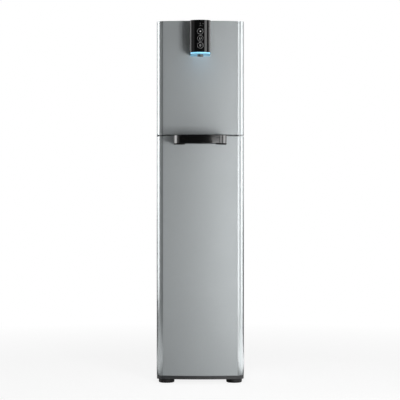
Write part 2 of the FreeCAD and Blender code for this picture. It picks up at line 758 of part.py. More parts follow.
def nozzle():
    """The push-in outlet tube, with a collar that stops against the socket."""
    z0 = HEAD_BOTTOM - NOZZLE_DROP
    z1 = HEAD_BOTTOM + HEAD_WALL + NOZZLE_INSERTION
    profile = [
        (NOZZLE_BORE, z0),
        (NOZZLE_RADIUS - 1.2, z0),
        (NOZZLE_RADIUS, z0 + 1.2, (NOZZLE_RADIUS - 0.35, z0 + 0.35)),
        (NOZZLE_RADIUS, z1),
        (NOZZLE_BORE, z1),
    ]
    return lathe(profile, (0, NOZZLE_Y, 0))


def head_board():
    """The key and lamp circuit board behind the touch panel."""
    y0 = HEAD_FRONT + BOARD_SETBACK
    plate = box(-19, 19, y0, y0 + 1.6, HEAD_BOTTOM + 10, HEAD_TOP - 8)
    pads = []
    pad_length = BOARD_SETBACK - TOUCH_PANEL - SEAT
    for z in key_heights():
        pads.append(rod(5.0, V(0, y0 - pad_length, z), Y_AXIS, pad_length))
    pads.append(box(-8, 8, y0 + 1.6, y0 + 5, HEAD_BOTTOM + 40, HEAD_BOTTOM + 54))
    return fuse([plate] + pads)


def key_heights():
    first = HEAD_TOP - 34.5
    pitch = 20.9
    return [first - pitch * n for n in range(3)]


def front_y(x):
    """Where the bowed front is at a distance x from the middle."""
    return Y_FRONT + BOW_RADIUS - math.sqrt(BOW_RADIUS**2 - x**2)


def head_screw_points():
    middle = (HEAD_TOP + HEAD_BOTTOM) / 2
    tall = SPIGOT_HEIGHT / 2 + 5
    for x in (-14, 14):
        for z in (middle - tall, middle + tall):
            yield V(x, front_y(x) + SHELL + CLAMP_SHEET + 0.1, z)


def head_clamp():
    """The curved plate inside the front cover that the head is screwed to through the cover."""
    middle = (HEAD_TOP + HEAD_BOTTOM) / 2
    half = SPIGOT_WIDTH / 2 + 6
    tall = SPIGOT_HEIGHT / 2 + 11
    outer = prism(bowed_plan(SHELL, Y_COVER), middle - tall, middle + tall)
    inner = prism(bowed_plan(SHELL + CLAMP_SHEET, Y_COVER), middle - tall, middle + tall)
    plate = outer.cut(inner).common(box(-half, half, Y_FRONT, Y_FRONT + 12, 0, FAR))
    for point in head_screw_points():
        plate = plate.cut(screw_hole(point + Y_AXIS, Y_AXIS * -1, 8))
    return plate.cut(spigot_solid(0.0))


# ---- drip tray
def tray_screw_points():
    z = (TRAY_TOP + TRAY_BOTTOM) / 2
    for x in (-38, 38):
        yield V(x, front_y(x) - BRACKET_SHEET, z)


def tray_bracket():
    """The steel bracket screwed to the door: a curved back plate and the tongue that carries the tray."""
    half = TONGUE_WIDTH / 2
    z0 = TRAY_BOTTOM + RUNNER_LIP + SEAT
    cabinet = prism(bowed_plan(0, Y_REAR), 0, FAR)
    slab = prism(bowed_plan(-BRACKET_SHEET, Y_REAR), z0, TRAY_TOP - 3).cut(cabinet)
    plate = slab.common(box(-half, half, Y_FRONT - 20, Y_FRONT + 20, z0, TRAY_TOP))
    tongue = box(-half, half, Y_FRONT - TONGUE_LENGTH, Y_FRONT + 10, z0, z0 + TONGUE_THICKNESS)
    tongue = tongue.cut(cabinet)
    bracket = fuse([plate, tongue])
    for point in tray_screw_points():
        bracket = bracket.cut(screw_hole(point - Y_AXIS, Y_AXIS, 6))
    return group([bracket] + [screw(point, Y_AXIS, 7) for point in tray_screw_points()])


def drip_tray():
    """The removable tray: a basin with a ledge for the grille, and runners that slide on the tongue."""
    tongue_z = TRAY_BOTTOM + RUNNER_LIP + SEAT
    floor_z = tongue_z + TONGUE_THICKNESS + SEAT
    door = prism(bowed_plan(-TRAY_REAR_GAP, Y_REAR), 0, FAR)
    outer = prism(tray_plan(0, Y_FRONT + 30), TRAY_BOTTOM, TRAY_TOP).cut(door)
    back = Y_FRONT - 7
    basin = prism(tray_plan(TRAY_WALL, back - TRAY_WALL), floor_z + TRAY_FLOOR, TRAY_TOP)
    ledge = prism(tray_plan(TRAY_WALL, back - TRAY_WALL), floor_z, TRAY_TOP - GRILLE_THICKNESS - 0.6)
    ledge_hole = prism(tray_plan(TRAY_WALL + 3, back - TRAY_WALL - 3), floor_z, TRAY_TOP)
    tray = outer.cut(basin).fuse(ledge.cut(ledge_hole).common(shelf_band()))
    half = TONGUE_WIDTH / 2 + SEAT
    tongue_way = box(-half, half, Y_FRONT - TONGUE_LENGTH - 2, Y_FRONT + 30, tongue_z - SEAT, floor_z)
    mouth = box(
        RUNNER_OVERLAP - half, half - RUNNER_OVERLAP, Y_FRONT - TONGUE_LENGTH - 2, Y_FRONT + 30, 0, floor_z
    )
    plate_way = box(-half, half, Y_FRONT - 5.6, Y_FRONT + 30, 0, TRAY_TOP + 1)
    tray = tray.cut(tongue_way).cut(mouth).cut(plate_way)
    under = prism(tray_plan(TRAY_WALL, back), TRAY_BOTTOM - 1, floor_z)
    side_hollow = under.cut(box(-half - 4, half + 4, TRAY_FRONT, Y_REAR, 0, FAR))
    return tray.cut(side_hollow.common(box(-FAR, FAR, Y_FRONT - 80, Y_FRONT - 12, 0, FAR)))


def shelf_band():
    return box(-FAR, FAR, -FAR, FAR, TRAY_TOP - GRILLE_THICKNESS - 2.8, TRAY_TOP)


def drip_grille():
    """The lift-off stainless grille with its rows of slots."""
    back = Y_FRONT - 7 - TRAY_WALL - GRILLE_CLEARANCE
    z0 = TRAY_TOP - GRILLE_THICKNESS - 0.6
    plan = tray_plan(TRAY_WALL + GRILLE_CLEARANCE, back)
    plate = prism(plan, z0, z0 + GRILLE_THICKNESS)
    field = tray_plan(TRAY_WALL + GRILLE_CLEARANCE + GRILLE_RIM, back - GRILLE_RIM)
    half = TRAY_WIDTH / 2
    count = int((half - 12) / SLOT_PITCH)
    slots = []
    for n in range(-count, count + 1):
        x = n * SLOT_PITCH
        slots.append(box(x - SLOT_WIDTH / 2, x + SLOT_WIDTH / 2, TRAY_FRONT, back, z0 - 1, TRAY_TOP + 1))
    bars = prism(field, z0 - 1, TRAY_TOP + 1).common(group(slots))
    middle = (TRAY_FRONT + back) / 2
    keep = box(-FAR, FAR, middle - 2.5, middle + 2.5, z0, TRAY_TOP)
    return plate.cut(bars.cut(keep))


# ---- filters
def filter_places():
    return (("sediment", -FILTER_PITCH), ("carbon", 0.0), ("membrane", FILTER_PITCH))


def filter_cartridge(x):
    """A sealed cartridge with a ribbed grip at its foot and a bayonet neck."""
    z0 = FILTER_TOP - FILTER_LENGTH
    dome = 10.0
    profile = [
        (0, z0),
        (FILTER_RADIUS - dome, z0),
        (FILTER_RADIUS, z0 + dome, (FILTER_RADIUS - 2.9, z0 + 2.9)),
        (FILTER_RADIUS, FILTER_TOP - 12),
        (FILTER_RADIUS - 9, FILTER_TOP - SEAT),
        (NECK_RADIUS, FILTER_TOP - SEAT),
        (NECK_RADIUS, FILTER_TOP + NECK_LENGTH),
        (0, FILTER_TOP + NECK_LENGTH),
    ]
    body = lathe(profile, (x, FILTER_Y, 0))
    grips = []
    for n in range(18):
        turn = math.radians(20 * n)
        place = V(x + math.cos(turn) * FILTER_RADIUS, FILTER_Y + math.sin(turn) * FILTER_RADIUS, z0 + 14)
        grips.append(rod(1.6, place, Z_AXIS, 34))
    return body.cut(group(grips))


def manifold_port_z():
    return MANIFOLD_TOP - 12.0


def filter_manifold():
    """The moulded head that the three cartridges twist into, joined in series by channels inside."""
    half = FILTER_PITCH + 34.0
    y0 = FILTER_Y - 30.0
    z0 = MANIFOLD_TOP - MANIFOLD_HEIGHT
    block = rounded_box(-half, half, y0, Y_WALL, z0, MANIFOLD_TOP, 8, Z_AXIS)
    for _, x in filter_places():
        socket = rod(NECK_RADIUS + SOCKET_CLEARANCE, V(x, FILTER_Y, z0 - 1), Z_AXIS, NECK_LENGTH + 2)
        block = block.cut(socket)
    for x in (-FILTER_PITCH, FILTER_PITCH):
        block = block.cut(rod(3.3, V(x, Y_WALL - 14, manifold_port_z()), Y_AXIS, 15))
    return block


# ---- cold side
def cold_tank():
    """The stainless tank with a dished bottom and an open neck for its lid."""
    r, t = TANK_RADIUS, TANK_WALL
    z0, z1 = TANK_BASE_Z, TANK_BASE_Z + TANK_HEIGHT
    dish = 8.0
    profile = [
        (0, z0),
        (r, z0 + dish, (r * 0.55, z0 + dish * 0.28)),
        (r, z1),
        (r - t, z1),
        (r - t, z0 + dish + t),
        (0, z0 + t, (r * 0.55, z0 + t + dish * 0.28)),
    ]
    tank = lathe(profile, (0, TANK_Y, 0))
    return tank.cut(rod(5.0, V(0, TANK_Y, z0 - 2), Z_AXIS, 8))


def tank_lid():
    """The tank's lid, with the rod that the level float rides on."""
    top = TANK_BASE_Z + TANK_HEIGHT
    disc = rod(TANK_RADIUS + 4, V(0, TANK_Y, top), Z_AXIS, 4)
    plug = ring(TANK_RADIUS - TANK_WALL - SEAT, TANK_RADIUS - 8, V(0, TANK_Y, top - 8), Z_AXIS, 8)
    stem = rod(FLOAT_ROD, V(30, TANK_Y, top - 84), Z_AXIS, 84)
    stop = rod(FLOAT_ROD + 4, V(30, TANK_Y, top - 86), Z_AXIS, 3)
    inlet = rod(4.0, V(-35, TANK_Y, top + 4), Z_AXIS, 10)
    lid = fuse([disc, plug, stem, stop, inlet])
    return lid.cut(rod(2.2, V(-35, TANK_Y, top - 10), Z_AXIS, 40))


def level_float():
    """The ring float that rises with the water and tells the board that the tank is full."""
    z0 = TANK_BASE_Z + TANK_HEIGHT - 83 + SEAT
    return ring(FLOAT_RADIUS, FLOAT_ROD + 0.5, V(30, TANK_Y, z0), Z_AXIS, FLOAT_HEIGHT)


def evaporator_coil():
    """The copper coil that chills the tank, wound round it."""
    radius = TANK_RADIUS + SEAT + COIL_TUBE
    helix = Part.makeHelix(COIL_PITCH, COIL_PITCH * COIL_TURNS, radius)
    circle = Part.Wire([Part.makeCircle(COIL_TUBE, V(radius, 0, 0), Y_AXIS)])
    coil = Part.Wire(helix.Edges).makePipeShell([circle], True, True)
    coil.translate(V(0, TANK_Y, TANK_BASE_Z + 30))
    return coil


def cold_tank_insulation():
    """Two foam halves round the cold tank, parted across the cabinet."""
    bore = TANK_RADIUS + 2 * COIL_TUBE + 2 * SEAT
    half = bore + FOAM_WALL
    z0 = TANK_BASE_Z - FOAM_BASE
    z1 = TANK_BASE_Z + TANK_HEIGHT - 2
    block = rounded_box(-half, half, TANK_Y - half, TANK_Y + half, z0, z1, 18, Z_AXIS)
    block = block.cut(rod(bore, V(0, TANK_Y, TANK_BASE_Z), Z_AXIS, TANK_HEIGHT))
    block = block.cut(rod(6.0, V(0, TANK_Y, z0 - 1), Z_AXIS, 40))
    front = block.common(box(-FAR, FAR, -FAR, TANK_Y - SEAT / 2, 0, FAR))
    back = block.common(box(-FAR, FAR, TANK_Y + SEAT / 2, FAR, 0, FAR))
    return group([front, back])


# ---- hot side
def hot_tank():
    """The closed stainless boiler, with its outlet on top and its inlet below."""
    r, t = HOT_RADIUS, TANK_WALL
    z0, z1 = HOT_BASE_Z, HOT_BASE_Z + HOT_HEIGHT
    shell = rod(r, V(HOT_X, HOT_Y, z0), Z_AXIS, HOT_HEIGHT)
    hollow = rod(r - t, V(HOT_X, HOT_Y, z0 + t), Z_AXIS, HOT_HEIGHT - 2 * t)
    neck = rod(5.0, V(HOT_X, HOT_Y, z0 - 12), Z_AXIS, HOT_HEIGHT + 30)
    bore = rod(3.2, V(HOT_X, HOT_Y, z0 - 13), Z_AXIS, HOT_HEIGHT + 32)
    return fuse([shell, neck]).cut(hollow).cut(bore)


def band_heater():
    z = HOT_BASE_Z + 30
    band = ring(HOT_RADIUS + SEAT + BAND_WALL, HOT_RADIUS + SEAT, V(HOT_X, HOT_Y, z), Z_AXIS, BAND_HEIGHT)
    gap = box(HOT_X - 4, HOT_X + 4, HOT_Y, HOT_Y + FAR, z - 1, z + BAND_HEIGHT + 1)
    return band.cut(gap)


def hot_tank_jacket():
    """The insulating jacket of the boiler, in two halves."""
    bore = HOT_RADIUS + BAND_WALL + 2 * SEAT
    outer = HOT_RADIUS + JACKET_WALL
    z0 = HOT_BASE_Z - JACKET_END
    z1 = HOT_BASE_Z + HOT_HEIGHT + JACKET_END
    block = rod(outer, V(HOT_X, HOT_Y, z0), Z_AXIS, z1 - z0)
    block = block.cut(rod(bore, V(HOT_X, HOT_Y, HOT_BASE_Z), Z_AXIS, HOT_HEIGHT))
    block = block.cut(rod(5.4, V(HOT_X, HOT_Y, z0 - 1), Z_AXIS, z1 - z0 + 2))
    left = block.common(box(-FAR, HOT_X - SEAT / 2, -FAR, FAR, 0, FAR))
    right = block.common(box(HOT_X + SEAT / 2, FAR, -FAR, FAR, 0, FAR))
    return group([left, right])


# ---- cooling plant
def grommet_centres():
    for x in (-GROMMET_SPREAD, GROMMET_SPREAD):
        for y in (COMPRESSOR_Y - 45, COMPRESSOR_Y + 45):
            yield x, y


def compressor_can(inset):
    """The outline of the domed shell, moved inward by inset."""
    r = COMPRESSOR_RADIUS - inset
    z0 = FLOOR_TOP + GROMMET_HEIGHT + 2 + inset
    z1 = FLOOR_TOP + GROMMET_HEIGHT + COMPRESSOR_HEIGHT - inset
    profile = [
        (0, z0),
        (r - 20, z0),
        (r, z0 + 24, (r - 5, z0 + 7)),
        (r, z1 - 34),
        (r - 26, z1 - 4, (r - 7, z1 - 13)),
        (r * 0.25, z1, (r * 0.4, z1 - 0.8)),
        (0, z1),
    ]
    return lathe(profile, (0, COMPRESSOR_Y, 0))


def compressor():
    """The hermetic compressor: a domed steel shell round its motor, a foot plate and a terminal cover."""
    r = COMPRESSOR_RADIUS
    z0 = FLOOR_TOP + GROMMET_HEIGHT
    motor = rod(MOTOR_RADIUS, V(0, COMPRESSOR_Y, z0 + 4), Z_AXIS, COMPRESSOR_HEIGHT * 0.6)
    can = fuse([compressor_can(0).cut(compressor_can(COMPRESSOR_SHELL)), motor])
    spread = GROMMET_SPREAD + 12
    plate = rounded_box(-spread, spread, COMPRESSOR_Y - 57, COMPRESSOR_Y + 57, z0, z0 + 3, 10, Z_AXIS)
    weld = ring(r + 2, r - 1, V(0, COMPRESSOR_Y, z0 + 84), Z_AXIS, 3)
    cover = rounded_box(r - 1, r + 16, COMPRESSOR_Y - 20, COMPRESSOR_Y + 20, z0 + 30, z0 + 74, 5, X_AXIS)
    block = box(r - 8, r, COMPRESSOR_Y - 14, COMPRESSOR_Y + 14, z0 + 36, z0 + 68)
    cover = fuse([cover, block.cut(compressor_can(COMPRESSOR_SHELL / 2))])
    stub = ring(4.0, 3.0, V(0, COMPRESSOR_Y + r - 1, z0 + 60), Y_AXIS, 12)
    body = fuse([can, plate, weld, cover, stub])
    for x, y in grommet_centres():
        body = body.cut(rod(5.2, V(x, y, z0 - 1), Z_AXIS, 6))
    return body


def compressor_grommets():
    """Four rubber bushes between the compressor's foot plate and the base plate."""
    bushes = []
    for x, y in grommet_centres():
        low = rod(10.0, V(x, y, FLOOR_TOP), Z_AXIS, GROMMET_HEIGHT)
        waist = rod(5.0, V(x, y, FLOOR_TOP + GROMMET_HEIGHT), Z_AXIS, 6)
        bushes.append(fuse([low, waist]))
    return group(bushes)


def condenser():
    """The finned condenser: plates on six straight tubes."""
    half = CONDENSER_WIDTH / 2
    z0, z1 = CONDENSER_BASE_Z, CONDENSER_BASE_Z + CONDENSER_HEIGHT
    fins = []
    count = int(CONDENSER_WIDTH / FIN_PITCH)
    for n in range(count + 1):
        x = -half + n * (CONDENSER_WIDTH - FIN) / count
        fins.append(box(x, x + FIN, CONDENSER_Y, CONDENSER_Y + CONDENSER_DEPTH, z0, z1))
    tubes = []
    for row in range(4):
        z = z0 + CONDENSER_HEIGHT * (row + 0.5) / 4
        for y in (CONDENSER_Y + CONDENSER_DEPTH * 0.28, CONDENSER_Y + CONDENSER_DEPTH * 0.72):
            tubes.append(rod(3.5, V(-half - 5, y, z), X_AXIS, CONDENSER_WIDTH + 10))
    feet = []
    for x in (-half, half - 6):
        feet.append(box(x, x + 6, CONDENSER_Y + 4, CONDENSER_Y + CONDENSER_DEPTH - 4, FLOOR_TOP, z0 + 6))
    return fuse(fins + tubes + feet)


def fan_shroud():
    """The fan's square frame, with the motor on four arms."""
    half = FAN_SIZE / 2
    frame = rounded_box(-half, half, FAN_Y, FAN_Y + FAN_DEPTH, FAN_Z - half, FAN_Z + half, 6, Y_AXIS)
    bore = rod(half - 3, V(0, FAN_Y - 1, FAN_Z), Y_AXIS, FAN_DEPTH + 2)
    motor = rod(19.0, V(0, FAN_Y, FAN_Z), Y_AXIS, 8)
    shaft = rod(2.5, V(0, FAN_Y + 8, FAN_Z), Y_AXIS, 10)
    arms = []
    for n in range(4):
        arm = box(0, half - 2, FAN_Y, FAN_Y + 3, FAN_Z - 2.5, FAN_Z + 2.5)
        arm.rotate(V(0, 0, FAN_Z), Y_AXIS, 45 + 90 * n)
        arms.append(arm)
    stand = box(-half, half, FAN_Y, FAN_Y + FAN_DEPTH, FLOOR_TOP, FAN_Z - half + 8)
    return fuse([frame, stand]).cut(bore).fuse([motor, shaft] + arms).removeSplitter()


def fan_rotor():
    """The bladed rotor, which runs on the motor's shaft."""
    y0 = FAN_Y + 8 + SEAT
    hub = rod(17.0, V(0, y0, FAN_Z), Y_AXIS, 13)
    blades = []
    tip = FAN_SIZE / 2 - 3 - 2.5
    for n in range(FAN_BLADES):
        blade = box(14, tip, y0 + 5.3, y0 + 7.1, FAN_Z - 10, FAN_Z + 10)
        blade.rotate(V(0, y0 + 6.2, FAN_Z), X_AXIS, 28)
        blade.rotate(V(0, 0, FAN_Z), Y_AXIS, 360.0 * n / FAN_BLADES)
        blades.append(blade)
    rotor = fuse([hub] + blades)
    return rotor.cut(rod(2.5 + RUNNING, V(0, y0 - 1, FAN_Z), Y_AXIS, 12))


# ---- valves, board and rear fittings
def valve(x, y, z):
    """A small solenoid valve: a body with two ports and a coil on top."""
    body = box(x - 14, x + 14, y - 10, y + 10, z, z + 16)
    ports = rod(4.0, V(x - 24, y, z + 8), X_AXIS, 48)
    coil = rod(11.0, V(x, y, z + 16), Z_AXIS, 24)
    return fuse([body, ports, coil])


def inlet_valve():
    return valve(HALF_WIDTH - 70, Y_WALL + SHEET + 26, LOWER_SHELF_Z + SHEET)


def dispensing_valves():
    """The cold and the hot valve, on the middle shelf in front of the tank."""
    y = TANK_Y - TANK_RADIUS - 2 * COIL_TUBE - FOAM_WALL - 24
    return group([valve(x, y, MID_SHELF_Z + SHEET) for x in (-50, 50)])


def board_case():
    """The moulded case of the control board, open on its rear side."""
    x1 = INNER_HALF - 8
    x0 = x1 - 84
    y0 = Y_WALL + SHEET
    case = box(x0, x1, y0, y0 + 40, 470, 640)
    return case.cut(box(x0 + 2, x1 - 2, y0 + 2, y0 + 41, 472, 638))


def control_board():
    """The control board with its transformer, relays and connectors."""
    x1 = INNER_HALF - 8 - 5
    x0 = x1 - 74
    y0 = Y_WALL + SHEET + 8
    plate = box(x0, x1, y0, y0 + 1.6, 476, 634)
    pieces = [plate]
    pieces.append(box(x0 + 8, x0 + 40, y0 + 1.6, y0 + 26, 486, 522))
    for n in range(3):
        pieces.append(box(x0 + 8 + 21 * n, x0 + 24 + 21 * n, y0 + 1.6, y0 + 18, 540, 560))
        pieces.append(box(x0 + 8 + 21 * n, x0 + 26 + 21 * n, y0 + 1.6, y0 + 11, 610, 620))
    pieces.append(rod(7.0, V(x0 + 56, y0 + 1.6, 504), Y_AXIS, 24))
    for x, z in ((x0 + 3, 479), (x1 - 3, 479), (x0 + 3, 631), (x1 - 3, 631)):
        pieces.append(rod(2.5, V(x, Y_WALL + SHEET + 2, z), Y_AXIS, 6))
    return fuse(pieces)


def fitting_places():
    """The water inlet and the two drains: points on the rear panel's outer face."""
    x = HALF_WIDTH - 40
    return [V(-x, Y_REAR, 226), V(-x, Y_REAR, 190), V(26 - x, Y_REAR, 226)]


def bulkhead(point):
    """A panel fitting along Y: a flange and nose outside, a threaded body inside and its nut."""
    nose = rod(FITTING_RADIUS - 1, point, Y_AXIS, FITTING_REACH)
    flange = rod(FITTING_RADIUS + 3, point, Y_AXIS, 3)
    body = rod(FITTING_RADIUS, point - Y_AXIS * 18, Y_AXIS, 18)
    nut = rod(FITTING_RADIUS + 3.5, point - Y_AXIS * (REAR_SHEET + 5), Y_AXIS, 5)
    fitting = fuse([nose, flange, body, nut])
    return fitting.cut(rod(FITTING_BORE, point - Y_AXIS * 19, Y_AXIS, FITTING_REACH + 20))


def water_fittings():
    """The water inlet and the two drains, with a plug in each drain."""
    pieces = [bulkhead(point) for point in fitting_places()]
    for point in fitting_places()[1:]:
        plug = rod(FITTING_BORE - RUNNING, point - Y_AXIS * 6, Y_AXIS, FITTING_REACH + 5)
        pieces.append(plug)
    return group(pieces)


def inlet_socket_place():
    return HALF_WIDTH - 45, 218.0


def power_inlet():
    """The mains inlet socket, with its three contacts in a recess."""
    x, z = inlet_socket_place()
    body = box(x - 14, x + 14, Y_REAR - 22, Y_REAR, z - 10, z + 10)
    flange = rounded_box(x - 24, x + 24, Y_REAR, Y_REAR + 2.5, z - 13, z + 13, 4, Y_AXIS)
    socket = fuse([body, flange])
    socket = socket.cut(rounded_box(x - 12, x + 12, Y_REAR - 16, Y_REAR + 3, z - 8, z + 8, 3, Y_AXIS))
    pins = []
    for dx, dz in ((-7, -2), (0, 3), (7, -2)):
        pins.append(box(x + dx - 1, x + dx + 1, Y_REAR - 18, Y_REAR - 3, z + dz - 2, z + dz + 2))
    return fuse([socket] + pins)


def switch_places():
    x = HALF_WIDTH - 45
    return [(x - 13, SWITCH_Z), (x + 13, SWITCH_Z)]


def switch_bezel():
    """Two switch frames, one for cooling and one for heating."""
    frames = []
    for x, z in switch_places():
        w = SWITCH_WIDTH / 2 + 1.5
        h = SWITCH_HEIGHT / 2 + 1.5
        frame = box(x - w, x + w, Y_REAR - 20, Y_REAR, z - h, z + h)
        rim = box(x - w - 1.5, x + w + 1.5, Y_REAR, Y_REAR + 2, z - h - 2, z + h + 2)
        well = box(x - w + 1.5, x + w - 1.5, Y_REAR - 14, Y_REAR + 3, z - h + 1.5, z + h - 1.5)
        frame = fuse([frame, rim]).cut(well)
        pin = rod(1.5, V(x - w, Y_REAR - ROCKER_DEPTH, z), X_AXIS, 2 * w)
        frames.append(fuse([frame, pin]))
    return group(frames)


def rocker(x, z):
    """A rocker cap on its cross pin, tilted to its off position."""
    w = SWITCH_WIDTH / 2 - SEAT
    h = SWITCH_HEIGHT / 2 - 1.0
    y = Y_REAR - ROCKER_DEPTH
    points = [
        V(x - w, y - 5, z - h + 3),
        V(x - w, y + 1.6, z - h),
        V(x - w, y + 4.0, z - h + 0.5),
        V(x - w, y + 2.4, z),
        V(x - w, y + 4.0, z + h - 0.5),
        V(x - w, y + 1.6, z + h),
        V(x - w, y - 5, z + h - 3),
    ]
    cap = Part.Face(Part.makePolygon(points + [points[0]])).extrude(V(2 * w, 0, 0))
    cap.rotate(V(x, y, z), X_AXIS, -ROCKER_TILT)
    return cap.cut(rod(1.5 + RUNNING, V(x - w - 1, y, z), X_AXIS, 2 * w + 2))


PARTS = {
    "base_plinth": base_plinth,
    "base_plate": base_plate,
    "side_panel_right": side_panel_right,
    "side_panel_left": lambda: mirrored(side_panel_right()),
    "rear_panel": rear_panel,
    "rear_handle": rear_handle,
    "case_screws": case_screws,
    "top_cover": top_cover,
    "posts": lambda: group([post_right(), mirrored(post_right())]),
    "mid_shelf": lambda: shelf(MID_SHELF_Z),
    "lower_shelf": lambda: shelf(LOWER_SHELF_Z),
    "bay_back_wall": bay_back_wall,
    "bay_cover": bay_cover,
    "front_cover_upper": front_cover_upper,
    "door_skin": door_skin,
    "door_liner": door_liner,
    "door_strike": lambda: strike_solid(0.1),
    "door_catch": door_catch,
    "hinge_lower": hinge_lower,
    "hinge_upper": hinge_upper,
    "head_housing": head_housing,
    "touch_panel": touch_panel,
    "light_guide": light_guide,
    "head_board": head_board,
    "head_clamp": head_clamp,
    "nozzle_socket": nozzle_socket,
    "nozzle": nozzle,
    "tray_bracket": tray_bracket,
    "drip_tray": drip_tray,
    "drip_grille": drip_grille,
    "filter_manifold": filter_manifold,
    "cold_tank": cold_tank,
    "tank_lid": tank_lid,
    "level_float": level_float,
    "evaporator_coil": evaporator_coil,
    "cold_tank_insulation": cold_tank_insulation,
    "hot_tank": hot_tank,
    "band_heater": band_heater,
    "hot_tank_jacket": hot_tank_jacket,
    "compressor": compressor,
    "compressor_grommets": compressor_grommets,
    "condenser": condenser,
    "fan_shroud": fan_shroud,
    "fan_rotor": fan_rotor,
    "board_case": board_case,
    "control_board": control_board,
    "inlet_valve": inlet_valve,
    "dispensing_valves": dispensing_valves,
    "water_fittings": water_fittings,
    "power_inlet": power_inlet,
    "switch_bezel": switch_bezel,
}


def build_all():
    made = {name: make() for name, make in PARTS.items()}
    for place, x, y in foot_centres():
        made[f"foot_{place}"] = levelling_foot(x, y)
    for name, x in filter_places():
        made[f"{name}_filter"] = filter_cartridge(x)
    for name, (x, z) in zip(("cooling_rocker", "heating_rocker"), switch_places()):
        made[name] = rocker(x, z)
    return made


os.makedirs("parts", exist_ok=True)
for part_name, part_shape in build_all().items():
    part_shape.exportStep(f"parts/{part_name}.step")
    solids = part_shape.Solids
    valid = all(solid.isValid() for solid in solids)
    print(part_name, len(solids), round(part_shape.Volume / 1000, 1), "cm3", "" if valid else "INVALID")
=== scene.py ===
import json
import math

import bmesh
import bpy
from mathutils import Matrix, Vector


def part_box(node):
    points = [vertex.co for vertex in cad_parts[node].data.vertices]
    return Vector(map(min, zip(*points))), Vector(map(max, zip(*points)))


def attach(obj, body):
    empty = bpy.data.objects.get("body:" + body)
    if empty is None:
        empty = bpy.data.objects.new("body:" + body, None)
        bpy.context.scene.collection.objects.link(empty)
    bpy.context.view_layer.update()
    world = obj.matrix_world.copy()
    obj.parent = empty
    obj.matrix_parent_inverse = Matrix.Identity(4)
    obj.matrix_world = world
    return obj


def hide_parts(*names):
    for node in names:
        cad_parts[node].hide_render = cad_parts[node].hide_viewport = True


# Looks for a floor-standing tower water dispenser. Metres, +Z up, front towards -Y, in the CAD's own frame.

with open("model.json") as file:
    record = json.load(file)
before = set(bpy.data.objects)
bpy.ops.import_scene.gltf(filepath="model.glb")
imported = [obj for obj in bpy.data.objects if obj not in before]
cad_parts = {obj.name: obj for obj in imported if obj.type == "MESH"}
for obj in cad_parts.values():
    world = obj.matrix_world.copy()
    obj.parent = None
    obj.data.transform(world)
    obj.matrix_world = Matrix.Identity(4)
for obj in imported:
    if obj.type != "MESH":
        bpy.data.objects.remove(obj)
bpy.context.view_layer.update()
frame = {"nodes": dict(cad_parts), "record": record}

MM = 0.001
LIFT = 0.06 * MM  # how far a printed line stands off the surface under it


# ---- places read from the CAD
def low(node):
    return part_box(node)[0]


def high(node):
    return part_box(node)[1]


def middle(node):
    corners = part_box(node)
    return (corners[0] + corners[1]) / 2


FRONT_Y = low("front_cover_upper").y
BODY_HALF = high("front_cover_upper").x
HEAD_FRONT = low("touch_panel").y
HEAD_TOP = high("head_housing").z
HEAD_RADIUS = 42 * MM  # the touch panel's bow


# ---- materials
PAINT_METAL = 0.3
PAINT_ROUGH = 0.6
CORNER_METAL = 0.5
CORNER_ROUGH = 0.17
CORNER_FROM = BODY_HALF - 20.0 * MM  # where the polished edge of the front begins, from the middle plane
CORNER_BLEND = 0.5 * MM
PEEL_HEIGHT = 0.0025 * MM
FLAKE_HEIGHT = 0.0006 * MM
MATT_ROUGH = 0.8
MATT_SPECULAR = 0.05
UNDER_GLOW = 0.13  # share of the light guide's strength that its underside has
BLUE = (0.27, 0.68, 0.97)
BRUSHED = (1, 1, 24)


def new_material(name):
    material = bpy.data.materials.new(name)
    material.use_nodes = True
    tree = material.node_tree
    tree.nodes.clear()
    output = tree.nodes.new("ShaderNodeOutputMaterial")
    shader = tree.nodes.new("ShaderNodeBsdfPrincipled")
    tree.links.new(shader.outputs["BSDF"], output.inputs["Surface"])
    return material, tree, shader


def noise(tree, scale, detail=3.0, stretch=(1, 1, 1)):
    """Noise in the object's own space. Scale is in features per metre."""
    place = tree.nodes.new("ShaderNodeTexCoord")
    mapping = tree.nodes.new("ShaderNodeMapping")
    mapping.inputs["Scale"].default_value = stretch
    texture = tree.nodes.new("ShaderNodeTexNoise")
    texture.inputs["Scale"].default_value = scale
    texture.inputs["Detail"].default_value = detail
    tree.links.new(place.outputs["Object"], mapping.inputs["Vector"])
    tree.links.new(mapping.outputs["Vector"], texture.inputs["Vector"])
    return texture.outputs["Fac"]


def ramp(tree, source, start, end, lowest=0.0, highest=1.0, curve="LINEAR"):
    """Goes from lowest to highest as the source goes from start to end, and stays there beyond them."""
    reach = tree.nodes.new("ShaderNodeMapRange")
    reach.interpolation_type = curve
    reach.inputs["From Min"].default_value = start
    reach.inputs["From Max"].default_value = end
    reach.inputs["To Min"].default_value = lowest
    reach.inputs["To Max"].default_value = highest
    tree.links.new(source, reach.inputs["Value"])
    return reach.outputs["Result"]


def spread(tree, source, lowest, highest):
    """Maps the middle of the noise, 0.3 to 0.7, onto lowest to highest."""
    return ramp(tree, source, 0.3, 0.7, lowest, highest)


def tinted(tree, source, colour, amount):
    """The colour, made darker and lighter by amount as the source goes from 0.3 to 0.7."""
    mix = tree.nodes.new("ShaderNodeMix")
    mix.data_type = "RGBA"
    mix.inputs["A"].default_value = [c * (1 - amount) for c in colour] + [1]
    mix.inputs["B"].default_value = [min(c * (1 + amount), 1) for c in colour] + [1]
    tree.links.new(spread(tree, source, 0.0, 1.0), mix.inputs["Factor"])
    return mix.outputs["Result"]


def bump(tree, source, height, normal=None):
    node = tree.nodes.new("ShaderNodeBump")
    node.inputs["Distance"].default_value = height
    node.inputs["Strength"].default_value = 1.0
    tree.links.new(source, node.inputs["Height"])
    if normal is not None:
        tree.links.new(normal, node.inputs["Normal"])
    return node.outputs["Normal"]


